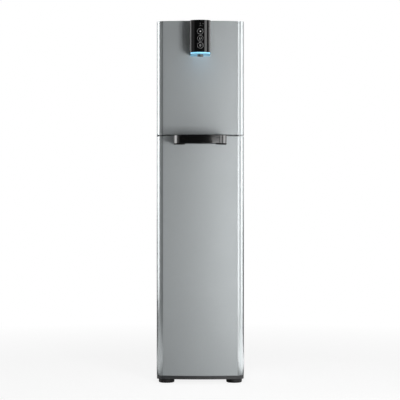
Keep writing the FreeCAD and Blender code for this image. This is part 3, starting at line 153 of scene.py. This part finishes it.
def surface(name, colour, rough, metal=0.0, tint=0.05, rough_by=0.05, grain=(900, 0.00001), **extra):
    """A moulded, painted or drawn surface: colour, roughness and relief each vary with their own noise.
    grain is the relief's features per metre and its height. extra may stretch the grain, set how broad the
    colour's noise is, or add a faint glow for a backlit print."""
    material, tree, shader = new_material(name)
    stretch = extra.get("stretch", (1, 1, 1))
    broad = noise(tree, extra.get("broad", 25), 4, stretch)
    fine = noise(tree, grain[0], 2, stretch)
    tree.links.new(tinted(tree, broad, colour, tint), shader.inputs["Base Color"])
    tree.links.new(spread(tree, broad, rough - rough_by, rough + rough_by), shader.inputs["Roughness"])
    tree.links.new(bump(tree, fine, grain[1]), shader.inputs["Normal"])
    shader.inputs["Metallic"].default_value = metal
    shader.inputs["Emission Color"].default_value = (1, 1, 1, 1)
    shader.inputs["Emission Strength"].default_value = extra.get("glow", 0.0)
    return material


def side_place(tree):
    """How far a point is from the middle plane, in metres."""
    place = tree.nodes.new("ShaderNodeTexCoord")
    split = tree.nodes.new("ShaderNodeSeparateXYZ")
    tree.links.new(place.outputs["Object"], split.inputs["Vector"])
    size = tree.nodes.new("ShaderNodeMath")
    size.operation = "ABSOLUTE"
    tree.links.new(split.outputs["X"], size.inputs[0])
    return size.outputs["Value"]


def facing_down(tree):
    """1 where the surface faces down, 0 elsewhere."""
    slope = tree.nodes.new("ShaderNodeNewGeometry")
    split = tree.nodes.new("ShaderNodeSeparateXYZ")
    tree.links.new(slope.outputs["True Normal"], split.inputs["Vector"])
    return ramp(tree, split.outputs["Z"], -0.4, -0.6)


def blended(tree, share, first, second):
    """From first, a number or a socket, to second, a number, as the share goes from 0 to 1."""
    mix = tree.nodes.new("ShaderNodeMix")
    mix.data_type = "FLOAT"
    if isinstance(first, bpy.types.NodeSocket):
        tree.links.new(first, mix.inputs["A"])
    else:
        mix.inputs["A"].default_value = first
    mix.inputs["B"].default_value = second
    tree.links.new(share, mix.inputs["Factor"])
    return mix.outputs["Result"]


def silver_paint(name, colour, corner_from=None):
    """Satin metallic paint: fine flakes that tilt the surface a little, over a faint orange peel.
    From corner_from outward the surface is polished, as the rounded edges of the front are."""
    material, tree, shader = new_material(name)
    peel = noise(tree, 140, 2)
    flakes = tree.nodes.new("ShaderNodeTexVoronoi")
    flakes.inputs["Scale"].default_value = 2600
    place = tree.nodes.new("ShaderNodeTexCoord")
    tree.links.new(place.outputs["Object"], flakes.inputs["Vector"])
    split = tree.nodes.new("ShaderNodeSeparateColor")
    tree.links.new(flakes.outputs["Color"], split.inputs["Color"])
    tree.links.new(tinted(tree, split.outputs["Red"], colour, 0.07), shader.inputs["Base Color"])
    rough = spread(tree, noise(tree, 9, 3), PAINT_ROUGH - 0.02, PAINT_ROUGH + 0.02)
    relief = bump(tree, peel, PEEL_HEIGHT)
    tree.links.new(bump(tree, split.outputs["Green"], FLAKE_HEIGHT, relief), shader.inputs["Normal"])
    shader.inputs["Metallic"].default_value = PAINT_METAL
    if corner_from is None:
        tree.links.new(rough, shader.inputs["Roughness"])
        return material
    corner = ramp(tree, side_place(tree), corner_from, corner_from + CORNER_BLEND)
    tree.links.new(blended(tree, corner, rough, CORNER_ROUGH), shader.inputs["Roughness"])
    tree.links.new(blended(tree, corner, PAINT_METAL, CORNER_METAL), shader.inputs["Metallic"])
    return material


def black_lacquer(name, colour, rough, specular=1.0):
    """Deep black lacquer. Its underside is left matt from the mould."""
    material, tree, shader = new_material(name)
    broad = noise(tree, 30, 3)
    tree.links.new(tinted(tree, broad, colour, 0.15), shader.inputs["Base Color"])
    under = facing_down(tree)
    tree.links.new(blended(tree, under, specular, MATT_SPECULAR), shader.inputs["Specular IOR Level"])
    fine = spread(tree, noise(tree, 700, 2), rough - 0.02, rough + 0.02)
    tree.links.new(blended(tree, under, fine, MATT_ROUGH), shader.inputs["Roughness"])
    tree.links.new(bump(tree, noise(tree, 240, 2), 0.000003), shader.inputs["Normal"])
    return material


def lit_plastic(name, colour, strength):
    """A translucent plate lit from inside: bright round its rim, dimmer underneath, slightly uneven."""
    material, tree, shader = new_material(name)
    broad = noise(tree, 45, 2)
    tree.links.new(tinted(tree, broad, colour, 0.12), shader.inputs["Emission Color"])
    tree.links.new(tinted(tree, broad, colour, 0.05), shader.inputs["Base Color"])
    tree.links.new(spread(tree, broad, 0.3, 0.4), shader.inputs["Roughness"])
    glow = blended(tree, facing_down(tree), strength, strength * UNDER_GLOW)
    tree.links.new(glow, shader.inputs["Emission Strength"])
    return material


def make_materials():
    """One material for each slot that the record names."""
    steel = (0.55, 0.56, 0.57)
    black = (0.004, 0.004, 0.0042)
    chrome = (0.1, 0.1, 0.102)
    grille = (0.27, 0.275, 0.28)
    return {
        "silver_paint": silver_paint("satin_silver_paint", (0.47, 0.50, 0.51), CORNER_FROM),
        "side_paint": silver_paint("side_silver_paint", (0.46, 0.48, 0.49)),
        "rear_steel": surface("textured_coat", (0.30, 0.31, 0.32), 0.55, 0.0, grain=(1500, 0.00004)),
        "chassis_steel": surface("galvanised_sheet", steel, 0.42, 0.9, 0.16, 0.1, broad=60),
        "lid_plastic": surface("lid_moulding", (0.36, 0.38, 0.39), 0.42, 0.1, grain=(1800, 0.00002)),
        "plinth_plastic": surface("plinth_moulding", (0.045, 0.046, 0.048), 0.5, grain=(1500, 0.00003)),
        "foot_rubber": surface("foot_rubber", (0.004, 0.004, 0.004), 0.62, grain=(1200, 0.00003)),
        "head_plastic": black_lacquer("gloss_black_moulding", black, 0.12, 0.6),
        "touch_plastic": black_lacquer("touch_panel_black", black, 0.1, 0.5),
        "diffuser": lit_plastic("lit_diffuser", BLUE, 0.9),
        "nozzle_chrome": surface("nozzle_chrome", chrome, 0.14, 1.0, 0.03, 0.03, (500, 0.000003)),
        "tray_plastic": black_lacquer("tray_black", black, 0.1),
        "grille_steel": surface(
            "brushed_grille", grille, 0.38, 1.0, 0.1, 0.08, (500, 0.000008), stretch=(1, 18, 18)),
        "bracket_steel": surface("satin_bracket", (0.16, 0.165, 0.17), 0.5, 0.5, 0.1, 0.06, (900, 0.00001)),
        "screw_steel": surface("bright_screw", (0.6, 0.6, 0.61), 0.28, 1.0, 0.08, 0.08, (1500, 0.000004)),
        "liner_plastic": surface("liner_moulding", (0.62, 0.64, 0.65), 0.45, grain=(1600, 0.00002)),
        "black_plastic": surface("black_moulding", (0.025, 0.025, 0.027), 0.45, grain=(1600, 0.00003)),
        "filter_plastic": surface("filter_white", (0.74, 0.75, 0.76), 0.35, grain=(700, 0.00001), tint=0.03),
        "manifold_plastic": surface("manifold_grey", (0.16, 0.17, 0.19), 0.45, grain=(1200, 0.00003)),
        "stainless": surface("drawn_stainless", steel, 0.3, 1.0, 0.08, 0.08, (700, 0.00001), stretch=BRUSHED),
        "copper": surface("copper_tube", (0.74, 0.36, 0.20), 0.32, 1.0, 0.16, 0.1, (300, 0.00001)),
        "foam": surface("bead_foam", (0.72, 0.70, 0.63), 0.9, 0.0, 0.07, 0.04, (320, 0.0004)),
        "compressor_paint": surface("compressor_black", (0.018, 0.018, 0.02), 0.38, grain=(500, 0.00004)),
        "fin_metal": surface("rolled_fin", (0.62, 0.63, 0.64), 0.36, 1.0, 0.08, 0.06, (900, 0.00001)),
        "board_green": surface("solder_mask", (0.02, 0.13, 0.06), 0.3, 0.0, 0.2, 0.08, (1200, 0.00002)),
        "valve_plastic": surface("valve_nylon", (0.66, 0.66, 0.62), 0.4, grain=(1300, 0.00002)),
        "fitting_plastic": surface("fitting_grey", (0.24, 0.26, 0.28), 0.4, grain=(1300, 0.00002)),
        "switch_plastic": surface("switch_black", (0.016, 0.016, 0.016), 0.35, grain=(1300, 0.00001)),
        "rocker_green": surface("rocker_green", (0.02, 0.24, 0.09), 0.3, grain=(900, 0.00001)),
        "rocker_red": surface("rocker_red", (0.48, 0.025, 0.02), 0.3, grain=(900, 0.00001)),
    }


def dress_nodes(materials):
    """Gives each CAD node the material of its slot."""
    for entry in frame["record"]["subparts"]:
        mesh = frame["nodes"][entry["node"]].data
        mesh.materials.clear()
        mesh.materials.append(materials[entry["material_slot"]])


# ---- mesh helpers
def add_mesh(name, build, material, body):
    """Makes a piece from a function that fills a bmesh, and puts it on a body."""
    shape = bmesh.new()
    build(shape)
    bmesh.ops.recalc_face_normals(shape, faces=shape.faces)
    mesh = bpy.data.meshes.new(name)
    shape.to_mesh(mesh)
    shape.free()
    piece = bpy.data.objects.new(name, mesh)
    bpy.context.scene.collection.objects.link(piece)
    mesh.materials.append(material)
    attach(piece, body)
    return piece


# ---- keys
KEY_FIRST = HEAD_TOP - 34.5 * MM
KEY_PITCH = 20.9 * MM
KEY_RADIUS = 8.6 * MM
KEY_LINE = 0.75 * MM
DASH_LINE = 1.5 * MM
DASH_START = -0.6 * MM
DASHES = ((11.4 * MM, 9.2 * MM), (17.6 * MM, 6.0 * MM))  # each one's drop from the head's top, and length


def panel_point(u, v, lift):
    """A point of the touch panel's curved face, u across and v up, raised by lift along its normal."""
    turn = math.asin(u / HEAD_RADIUS)
    reach = HEAD_RADIUS + lift
    return Vector((math.sin(turn) * reach, HEAD_FRONT + HEAD_RADIUS - math.cos(turn) * reach, v))


def stroke(shape, path, width, closed=False, place=panel_point):
    """A flat printed line along a path of (u, v) points, laid on a curved surface by place."""
    count = len(path)
    rows = []
    for index, (u, v) in enumerate(path):
        before = path[(index - 1) % count] if closed or index else path[index]
        after = path[(index + 1) % count] if closed or index < count - 1 else path[index]
        along = Vector((after[0] - before[0], after[1] - before[1])).normalized()
        side = Vector((-along.y, along.x)) * width / 2
        row = []
        for sign in (1, -1):
            row.append(shape.verts.new(place(u + side.x * sign, v + side.y * sign, LIFT)))
        rows.append(row)
    pairs = list(zip(rows, rows[1:]))
    if closed:
        pairs.append((rows[-1], rows[0]))
    for first, second in pairs:
        shape.faces.new((first[0], first[1], second[1], second[0]))


def circle_path(centre, radius, steps=64):
    path = []
    for step in range(steps):
        angle = 2 * math.pi * step / steps
        path.append((centre[0] + radius * math.cos(angle), centre[1] + radius * math.sin(angle)))
    return path


def hot_glyph(shape, centre):
    """A solid drop in the first key."""
    stroke(shape, circle_path(centre, 1.1 * MM, 24), 1.9 * MM, True)


def room_glyph(shape, centre):
    """A cup outline in the second key."""
    u, v = centre
    mouth = 3.0 * MM
    foot = mouth * 0.7
    tall = 2.6 * MM
    outline = [(u - mouth, v + tall), (u - foot, v - tall), (u + foot, v - tall), (u + mouth, v + tall)]
    stroke(shape, outline, KEY_LINE)


def cold_glyph(shape, centre):
    """A six-armed flake in the third key."""
    for arm in range(3):
        angle = math.pi * arm / 3 + math.pi / 6
        reach = Vector((math.cos(angle), math.sin(angle))) * 3.4 * MM
        start = (centre[0] - reach.x, centre[1] - reach.y)
        end = (centre[0] + reach.x, centre[1] + reach.y)
        stroke(shape, [start, end], KEY_LINE)


def make_keys():
    """Three round keys in a column, each with its mark, and two dashes above them."""
    print_grey = surface("key_print", (0.42, 0.42, 0.42), 0.45, grain=(2500, 0.000004), glow=0.07)
    print_bright = surface("key_print_bright", (0.6, 0.6, 0.6), 0.45, grain=(2500, 0.000004), glow=0.2)
    glyphs = (hot_glyph, room_glyph, cold_glyph)
    for index, glyph in enumerate(glyphs):
        centre = (0.0, KEY_FIRST - KEY_PITCH * index)

        def ring(shape, centre=centre):
            stroke(shape, circle_path(centre, KEY_RADIUS), KEY_LINE, True)

        def mark(shape, centre=centre, glyph=glyph):
            glyph(shape, centre)

        add_mesh(f"key_ring_{index + 1}", ring, print_grey, "cabinet")
        add_mesh(f"key_mark_{index + 1}", mark, print_bright, "cabinet")

    def dashes(shape):
        for drop, length in DASHES:
            v = HEAD_TOP - drop
            stroke(shape, [(DASH_START, v), (DASH_START + length, v)], DASH_LINE)

    add_mesh("indicator_dashes", dashes, print_bright, "cabinet")


# ---- door seal and liner mouldings
SEAL_HALF_WIDTH = 110 * MM
SEAL_INSET = 10 * MM
RIB_HALF_WIDTH = 86 * MM
RIB_STEP = 12 * MM  # from the outer rib to the inner one
RIB_END_GAP = 34 * MM
RIB_MIDDLE_GAP = 14 * MM


def rounded_path(half_width, z0, z1, radius, steps=6):
    """A closed upright rectangle with round corners, as (x, z) points."""
    path = []
    corners = ((1, z1, 0), (-1, z1, 1), (-1, z0, 2), (1, z0, 3))
    for side, z, quarter in corners:
        centre_x = side * (half_width - radius)
        centre_z = z - radius if quarter < 2 else z + radius
        for step in range(steps + 1):
            angle = math.pi / 2 * (quarter + step / steps)
            path.append((centre_x + radius * math.cos(angle), centre_z + radius * math.sin(angle)))
    return path


def bead(shape, path, y, width, height, steps=6):
    """A half-round moulding along a closed (x, z) path, standing out from the plane y towards +Y."""
    count = len(path)
    rows = []
    for index, (x, z) in enumerate(path):
        before = path[index - 1]
        after = path[(index + 1) % count]
        along = Vector((after[0] - before[0], after[1] - before[1])).normalized()
        row = []
        for step in range(steps + 1):
            angle = math.pi * step / steps
            out = width / 2 * math.cos(angle)
            point = Vector((x - along.y * out, y + height * math.sin(angle), z + along.x * out))
            row.append(shape.verts.new(point))
        rows.append(row)
    for first, second in zip(rows, rows[1:] + rows[:1]):
        for a in range(steps):
            shape.faces.new((first[a], first[a + 1], second[a + 1], second[a])).smooth = True


def make_door_trim(materials):
    """A rubber seal round the door's liner, and two pairs of ribs inside it."""
    back = high("door_liner").y
    z0 = low("door_liner").z
    z1 = high("door_liner").z

    def seal(shape):
        path = rounded_path(SEAL_HALF_WIDTH, z0 + SEAL_INSET, z1 - SEAL_INSET, 8 * MM)
        bead(shape, path, back, 5.5 * MM, 2.4 * MM)

    add_mesh("door_seal", seal, materials["foot_rubber"], "door")
    waist = (z0 + z1) / 2
    panels = {
        "lower": (z0 + RIB_END_GAP, waist - RIB_MIDDLE_GAP),
        "upper": (waist + RIB_MIDDLE_GAP, z1 - RIB_END_GAP),
    }
    for name, (lower, upper) in panels.items():

        def rib(shape, lower=lower, upper=upper):
            outer = rounded_path(RIB_HALF_WIDTH, lower, upper, 18 * MM)
            inner = rounded_path(RIB_HALF_WIDTH - RIB_STEP, lower + RIB_STEP, upper - RIB_STEP, 12 * MM)
            bead(shape, outer, back, 5 * MM, 1.3 * MM)
            bead(shape, inner, back, 3 * MM, 0.9 * MM)

        add_mesh(f"liner_rib_{name}", rib, materials["liner_plastic"], "door")


# ---- filter cartridges
WRAP_SPAN = (0.30, 0.80)  # shares of a cartridge's height
WRAP_EDGE = 0.3 * MM
GRIP_FROM = 0.07
GRIP_TALL = 33 * MM
GRIP_RIBS = 30
STRIPES = ((12 * MM, 12 * MM), (27 * MM, 2 * MM))  # each one's drop below the wrap's top, and its height


def sleeve(shape, centre, profile, around=96, wave=None):
    """A band round the axis through centre. profile is (radius, z) upward, and wave adds to the radius."""
    rows = []
    for radius, z in profile:
        row = []
        for step in range(around):
            angle = 2 * math.pi * step / around
            grown = radius + (wave(angle) if wave else 0.0)
            point = (centre.x + grown * math.sin(angle), centre.y - grown * math.cos(angle), z)
            row.append(shape.verts.new(point))
        rows.append(row)
    for first, second in zip(rows, rows[1:]):
        for a in range(around):
            b = (a + 1) % around
            shape.faces.new((first[a], first[b], second[b], second[a])).smooth = True


def make_filter_trim(materials):
    """A plain white wrap with a coloured band, a ribbed grip, and a turn arrow, on each cartridge."""
    wrap = surface("filter_wrap", (0.80, 0.81, 0.82), 0.5, tint=0.03, grain=(1500, 0.00001))
    ink = surface("wrap_ink", (0.05, 0.07, 0.09), 0.5, grain=(1500, 0.00001))
    colours = {"sediment": (0.06, 0.22, 0.50), "carbon": (0.06, 0.36, 0.22), "membrane": (0.30, 0.12, 0.42)}
    for kind, colour in colours.items():
        node = f"{kind}_filter"
        body = f"{kind}_cartridge"
        centre = middle(node)
        radius = (high(node).x - low(node).x) / 2
        bottom = low(node).z
        tall = high(node).z - bottom
        wrap_low = bottom + tall * WRAP_SPAN[0]
        wrap_high = bottom + tall * WRAP_SPAN[1]
        band = surface(f"{kind}_band", colour, 0.45, grain=(1500, 0.00001))

        def wrapper(shape):
            profile = [(radius, wrap_low), (radius + LIFT * 2, wrap_low + WRAP_EDGE)]
            profile += [(radius + LIFT * 2, wrap_high - WRAP_EDGE), (radius, wrap_high)]
            sleeve(shape, centre, profile)

        def stripe(shape):
            for drop, height in STRIPES:
                z = wrap_high - drop
                profile = [(radius + LIFT, z), (radius + LIFT * 4, z + LIFT * 3)]
                profile += [(radius + LIFT * 4, z + height - LIFT * 3), (radius + LIFT, z + height)]
                sleeve(shape, centre, profile)

        def grip(shape):
            def wave(angle):
                return 0.55 * MM * math.cos(GRIP_RIBS * angle)

            z = bottom + tall * GRIP_FROM
            slant = 3 * MM
            profile = [(radius - 0.5 * MM, z), (radius + 0.9 * MM, z + slant)]
            profile += [(radius + 0.9 * MM, z + GRIP_TALL - slant), (radius - 0.5 * MM, z + GRIP_TALL)]
            sleeve(shape, centre, profile, 240, wave)

        def arrow(shape):
            def place(u, v, lift):
                turn = u / radius
                reach = radius + LIFT * 3 + lift
                return Vector((centre.x + math.sin(turn) * reach, centre.y - math.cos(turn) * reach, v))

            v = wrap_low + 24 * MM
            path = [(step * MM, v + 3 * MM * math.cos(step / 16 * math.pi / 2)) for step in range(-16, 17, 2)]
            stroke(shape, path, 1.2 * MM, False, place)
            end = path[-1]
            head = [(end[0] - 4.5 * MM, end[1] + 5 * MM), end, (end[0] - 5.5 * MM, end[1] - 2.5 * MM)]
            stroke(shape, head, 1.2 * MM, False, place)
            stroke(shape, circle_path((0.0, v + 44 * MM), 9 * MM), 1.0 * MM, True, place)
            drop = [(0.0, v + 50 * MM), (3.2 * MM, v + 44 * MM), (2.2 * MM, v + 40 * MM)]
            drop += [(-2.2 * MM, v + 40 * MM), (-3.2 * MM, v + 44 * MM)]
            stroke(shape, drop, 0.9 * MM, True, place)

        add_mesh(f"{kind}_wrap", wrapper, wrap, body)
        add_mesh(f"{kind}_stripe", stripe, band, body)
        add_mesh(f"{kind}_grip", grip, materials["manifold_plastic"], body)
        add_mesh(f"{kind}_arrow", arrow, ink, body)


# ---- screws
SCREW_HEAD = 3.6 * MM
SCREW_SHANK = 1.6 * MM
SCREW_TALL = 1.8 * MM
CROSS_FLOOR = 0.4  # share of the head's height at which the cross recess ends
CROSS_ARM = 1.9 * MM
CROSS_HALF = 0.45 * MM
SCREW_STEPS = 24


def screw_places():
    """For each CAD screw, the middle of its head's underside, which way it faces along Y, and its length."""
    places = []
    for vertex in frame["nodes"]["case_screws"].data.vertices:
        point = vertex.co
        for group in places:
            away = point - group[0]
            if math.hypot(away.x, away.z) < 8 * MM and abs(away.y) < 40 * MM:
                group.append(point.copy())
                break
        else:
            places.append([point.copy()])
    for group in places:
        x = (min(p.x for p in group) + max(p.x for p in group)) / 2
        z = (min(p.z for p in group) + max(p.z for p in group)) / 2
        heads = [p.y for p in group if math.hypot(p.x - x, p.z - z) > 3 * MM]
        ends = (min(p.y for p in group), max(p.y for p in group))
        outward = 1 if abs(max(heads) - ends[1]) < 0.1 * MM else -1
        seat = min(heads) if outward > 0 else max(heads)
        tip = ends[0] if outward > 0 else ends[1]
        yield Vector((x, seat, z)), outward, abs(tip - seat)


def pan_screw(shape, seat, outward, length):
    """A pan-head screw with a cross recess. seat is the middle of the head's underside."""

    def loop(points, lift):
        return [shape.verts.new((seat.x + u, seat.y + outward * lift, seat.z + v)) for u, v in points]

    def circle(radius):
        return circle_path((0, 0), radius, SCREW_STEPS)

    rows = [loop(circle(SCREW_SHANK), -length), loop(circle(SCREW_SHANK), 0.0), loop(circle(SCREW_HEAD), 0.0)]
    for inset, share in ((0.0, 0.35), (0.3 * MM, 0.75), (1.0 * MM, 1.0)):
        rows.append(loop(circle(SCREW_HEAD - inset), SCREW_TALL * share))
    for first, second in zip(rows, rows[1:]):
        for a in range(len(first)):
            b = (a + 1) % len(first)
            shape.faces.new((first[a], first[b], second[b], second[a]))
    shape.faces.new(rows[0])
    quarter = [(CROSS_HALF, CROSS_HALF), (CROSS_HALF, CROSS_ARM), (-CROSS_HALF, CROSS_ARM)]
    cross = []
    for turn in range(4):
        for u, v in quarter:
            for _ in range(turn):
                u, v = -v, u
            cross.append((u, v))
    edge = loop(cross, SCREW_TALL)
    floor = loop(cross, SCREW_TALL * CROSS_FLOOR)
    for a in range(len(edge)):
        b = (a + 1) % len(edge)
        shape.faces.new((edge[a], edge[b], floor[b], floor[a]))
    shape.faces.new(floor)
    rim = [shape.edges.get((rows[-1][a], rows[-1][a - 1])) for a in range(SCREW_STEPS)]
    rim += [shape.edges.get((edge[a], edge[a - 1])) for a in range(len(edge))]
    bmesh.ops.triangle_fill(shape, edges=rim, use_beauty=True)


def make_screws(materials):
    """Cross-head screws in the places of the CAD's plain ones."""

    def all_screws(shape):
        for seat, outward, length in screw_places():
            pan_screw(shape, seat, outward, length)

    piece = add_mesh("cross_screws", all_screws, materials["screw_steel"], "cabinet")
    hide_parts("case_screws")


# ---- stage, lamps and camera
ROOM_LEVEL = 0.03
BEHIND_LEVEL = 0.9
FILL_LEVEL = 0.06
FLOOR_SIZE = 60
FLOOR_DROP = 0.2 * MM
FLOOR_PALE = 0.8  # the floor's grey as a source of bounced light
FLOOR_SHADE = 0.35  # the lit part and the glow that make up the floor as the camera sees it near the object
FLOOR_GLOW = 0.86
FLOOR_NEAR = 0.8  # from here to far the floor goes over to plain white
FLOOR_FAR = 2.2
LAMP_DISTANCE = 2.3
LOW_BOX_Y = -0.3
LOW_BOX_LIFT = 4 * MM
UPWARD = (math.radians(180), 0, 0)
DOWNWARD = (0, 0, 0)
GLOW_BLUE = (0.25, 0.62, 1.0)
GLOW_GAP = 0.6 * MM
GLOW_TILT = 14
CAMERA_DISTANCE = 4.55
CAMERA_EYE = 0.541
CAMERA_X = -0.001
CAMERA_TILT = 90.19
FRAME_WIDTH = 1.2128  # metres across the picture, in the plane of the front
SENSOR = 36.0


def ray_share(tree, names):
    """1 for the kinds of ray that are named, else 0."""
    path = tree.nodes.new("ShaderNodeLightPath")
    total = path.outputs[names[0]]
    for name in names[1:]:
        add = tree.nodes.new("ShaderNodeMath")
        add.operation = "MAXIMUM"
        tree.links.new(total, add.inputs[0])
        tree.links.new(path.outputs[name], add.inputs[1])
        total = add.outputs["Value"]
    return total


def background(tree, strength):
    """A white background. strength is a number or a socket."""
    node = tree.nodes.new("ShaderNodeBackground")
    node.inputs["Color"].default_value = (1, 1, 1, 1)
    if isinstance(strength, bpy.types.NodeSocket):
        tree.links.new(strength, node.inputs["Strength"])
    else:
        node.inputs["Strength"].default_value = strength
    return node.outputs["Background"]


def mixed_shader(tree, share, first, second):
    """From the first shader to the second as the share goes from 0 to 1."""
    mix = tree.nodes.new("ShaderNodeMixShader")
    tree.links.new(share, mix.inputs["Fac"])
    tree.links.new(first, mix.inputs[1])
    tree.links.new(second, mix.inputs[2])
    return mix.outputs["Shader"]


def make_world():
    """White for the camera. Gloss sees a dark room in front of the object and a white one behind it, and matt
    surfaces get a weak even fill."""
    world = bpy.data.worlds.new("studio")
    bpy.context.scene.world = world
    world.use_nodes = True
    tree = world.node_tree
    tree.nodes.clear()
    output = tree.nodes.new("ShaderNodeOutputWorld")
    direction = tree.nodes.new("ShaderNodeTexCoord")
    split = tree.nodes.new("ShaderNodeSeparateXYZ")
    tree.links.new(direction.outputs["Generated"], split.inputs["Vector"])
    room = ramp(tree, split.outputs["Y"], -0.4, 0.3, ROOM_LEVEL, BEHIND_LEVEL, "SMOOTHSTEP")
    glossy = ray_share(tree, ["Is Glossy Ray"])
    seen = ray_share(tree, ["Is Camera Ray", "Is Transmission Ray"])
    around = mixed_shader(tree, glossy, background(tree, FILL_LEVEL), background(tree, room))
    tree.links.new(mixed_shader(tree, seen, around, background(tree, 1.0)), output.inputs["Surface"])


def make_floor():
    """A pale floor that the camera sees as white, with the object's soft shadow kept on it."""
    mesh = bpy.data.meshes.new("floor")
    corners = [(x * FLOOR_SIZE, y * FLOOR_SIZE, 0) for x, y in ((-1, -1), (1, -1), (1, 1), (-1, 1))]
    mesh.from_pydata(corners, [], [(0, 1, 2, 3)])
    floor = bpy.data.objects.new("floor", mesh)
    bpy.context.scene.collection.objects.link(floor)
    floor.location.z = -FLOOR_DROP
    material = bpy.data.materials.new("pale_floor")
    material.use_nodes = True
    tree = material.node_tree
    tree.nodes.clear()
    output = tree.nodes.new("ShaderNodeOutputMaterial")
    pale = tree.nodes.new("ShaderNodeBsdfDiffuse")
    pale.inputs["Color"].default_value = (FLOOR_PALE, FLOOR_PALE, FLOOR_PALE, 1)
    shaded = tree.nodes.new("ShaderNodeBsdfDiffuse")
    shaded.inputs["Color"].default_value = (FLOOR_SHADE, FLOOR_SHADE, FLOOR_SHADE, 1)
    glow = tree.nodes.new("ShaderNodeEmission")
    glow.inputs["Strength"].default_value = FLOOR_GLOW
    seen = tree.nodes.new("ShaderNodeAddShader")
    tree.links.new(shaded.outputs["BSDF"], seen.inputs[0])
    tree.links.new(glow.outputs["Emission"], seen.inputs[1])
    white = tree.nodes.new("ShaderNodeEmission")
    white.inputs["Strength"].default_value = 1.0
    place = tree.nodes.new("ShaderNodeNewGeometry")
    length = tree.nodes.new("ShaderNodeVectorMath")
    length.operation = "LENGTH"
    tree.links.new(place.outputs["Position"], length.inputs[0])
    far = ramp(tree, length.outputs["Value"], FLOOR_NEAR, FLOOR_FAR)
    shown = mixed_shader(tree, far, seen.outputs["Shader"], white.outputs["Emission"])
    looked_at = ray_share(tree, ["Is Camera Ray", "Is Transmission Ray"])
    tree.links.new(mixed_shader(tree, looked_at, pale.outputs["BSDF"], shown), output.inputs["Surface"])
    mesh.materials.append(material)


def softbox(name, azimuth, distance, z, width, height, radiance, colour=(1, 1, 1)):
    """A rectangular lamp that faces the object's axis. Azimuth 0 is in front, 90 to the right. Its power is
    worked out from its area and the radiance."""
    lamp = bpy.data.lights.new(name, "AREA")
    lamp.shape = "RECTANGLE"
    lamp.size = width
    lamp.size_y = height
    lamp.energy = radiance * math.pi * width * height
    lamp.color = colour
    turned = math.radians(azimuth)
    holder = bpy.data.objects.new(name, lamp)
    bpy.context.scene.collection.objects.link(holder)
    holder.location = (distance * math.sin(turned), -distance * math.cos(turned), z)
    holder.rotation_euler = (math.radians(90), 0, turned)
    holder.visible_camera = False
    return holder


def reflector(name, *place):
    """A softbox that only shows as a reflection in polished surfaces."""
    holder = softbox(name, *place)
    holder.visible_diffuse = False
    return holder


def make_lamps():
    """A low key from the right front throws the head's shadow to the left. Tall strips show only as
    reflections in the polished edges and the black parts, and two boxes on the floor do so for the foot of
    those edges. A blue glow lies under the head, and a weak lamp above."""
    softbox("key", 18, 2.32, 0.46, 0.45, 0.6, 24.5)
    reflector("right_front", 42, LAMP_DISTANCE, 0.86, 0.8, 1.7, 3.2)
    reflector("right_side", 88, LAMP_DISTANCE, 0.86, 1.8, 1.7, 3.0)
    reflector("left_front", -56, LAMP_DISTANCE, 0.9, 0.75, 1.6, 0.4)
    reflector("left_side", -99, LAMP_DISTANCE, 0.9, 1.9, 1.6, 2.9)
    for name, x, radiance in (("low_right", 1.25, 2.4), ("low_left", -1.25, 1.0)):
        low_box = reflector(name, 0, 0, 0, 1.7, 1.6, radiance)
        low_box.location = (x, LOW_BOX_Y, LOW_BOX_LIFT)
        low_box.rotation_euler = UPWARD
    below = low("light_guide").z - GLOW_GAP
    glow = softbox("head_glow", 0, 0, 0, 46 * MM, 34 * MM, 1.1, GLOW_BLUE)
    glow.location = (0, (HEAD_FRONT + FRONT_Y) / 2 + 14 * MM, below)
    glow.rotation_euler = (math.radians(GLOW_TILT), 0, 0)
    glow.visible_glossy = False
    top = softbox("top", 0, 0.2, 2.6, 1.4, 1.4, 1.2)
    top.rotation_euler = DOWNWARD


def make_camera():
    """About level with the middle of the tower, far enough away for its slight perspective."""
    lens_data = bpy.data.cameras.new("camera")
    lens_data.sensor_width = SENSOR
    lens_data.lens = SENSOR * CAMERA_DISTANCE / FRAME_WIDTH
    lens_data.clip_end = 200
    camera = bpy.data.objects.new("camera", lens_data)
    bpy.context.scene.collection.objects.link(camera)
    camera.location = (CAMERA_X, FRONT_Y - CAMERA_DISTANCE, CAMERA_EYE)
    camera.rotation_euler = (math.radians(CAMERA_TILT), 0, 0)
    bpy.context.scene.camera = camera


def main():
    materials = make_materials()
    dress_nodes(materials)
    make_keys()
    make_door_trim(materials)
    make_filter_trim(materials)
    make_screws(materials)
    make_world()
    make_floor()
    make_lamps()
    make_camera()
    bpy.context.scene.view_settings.view_transform = "Standard"


main()
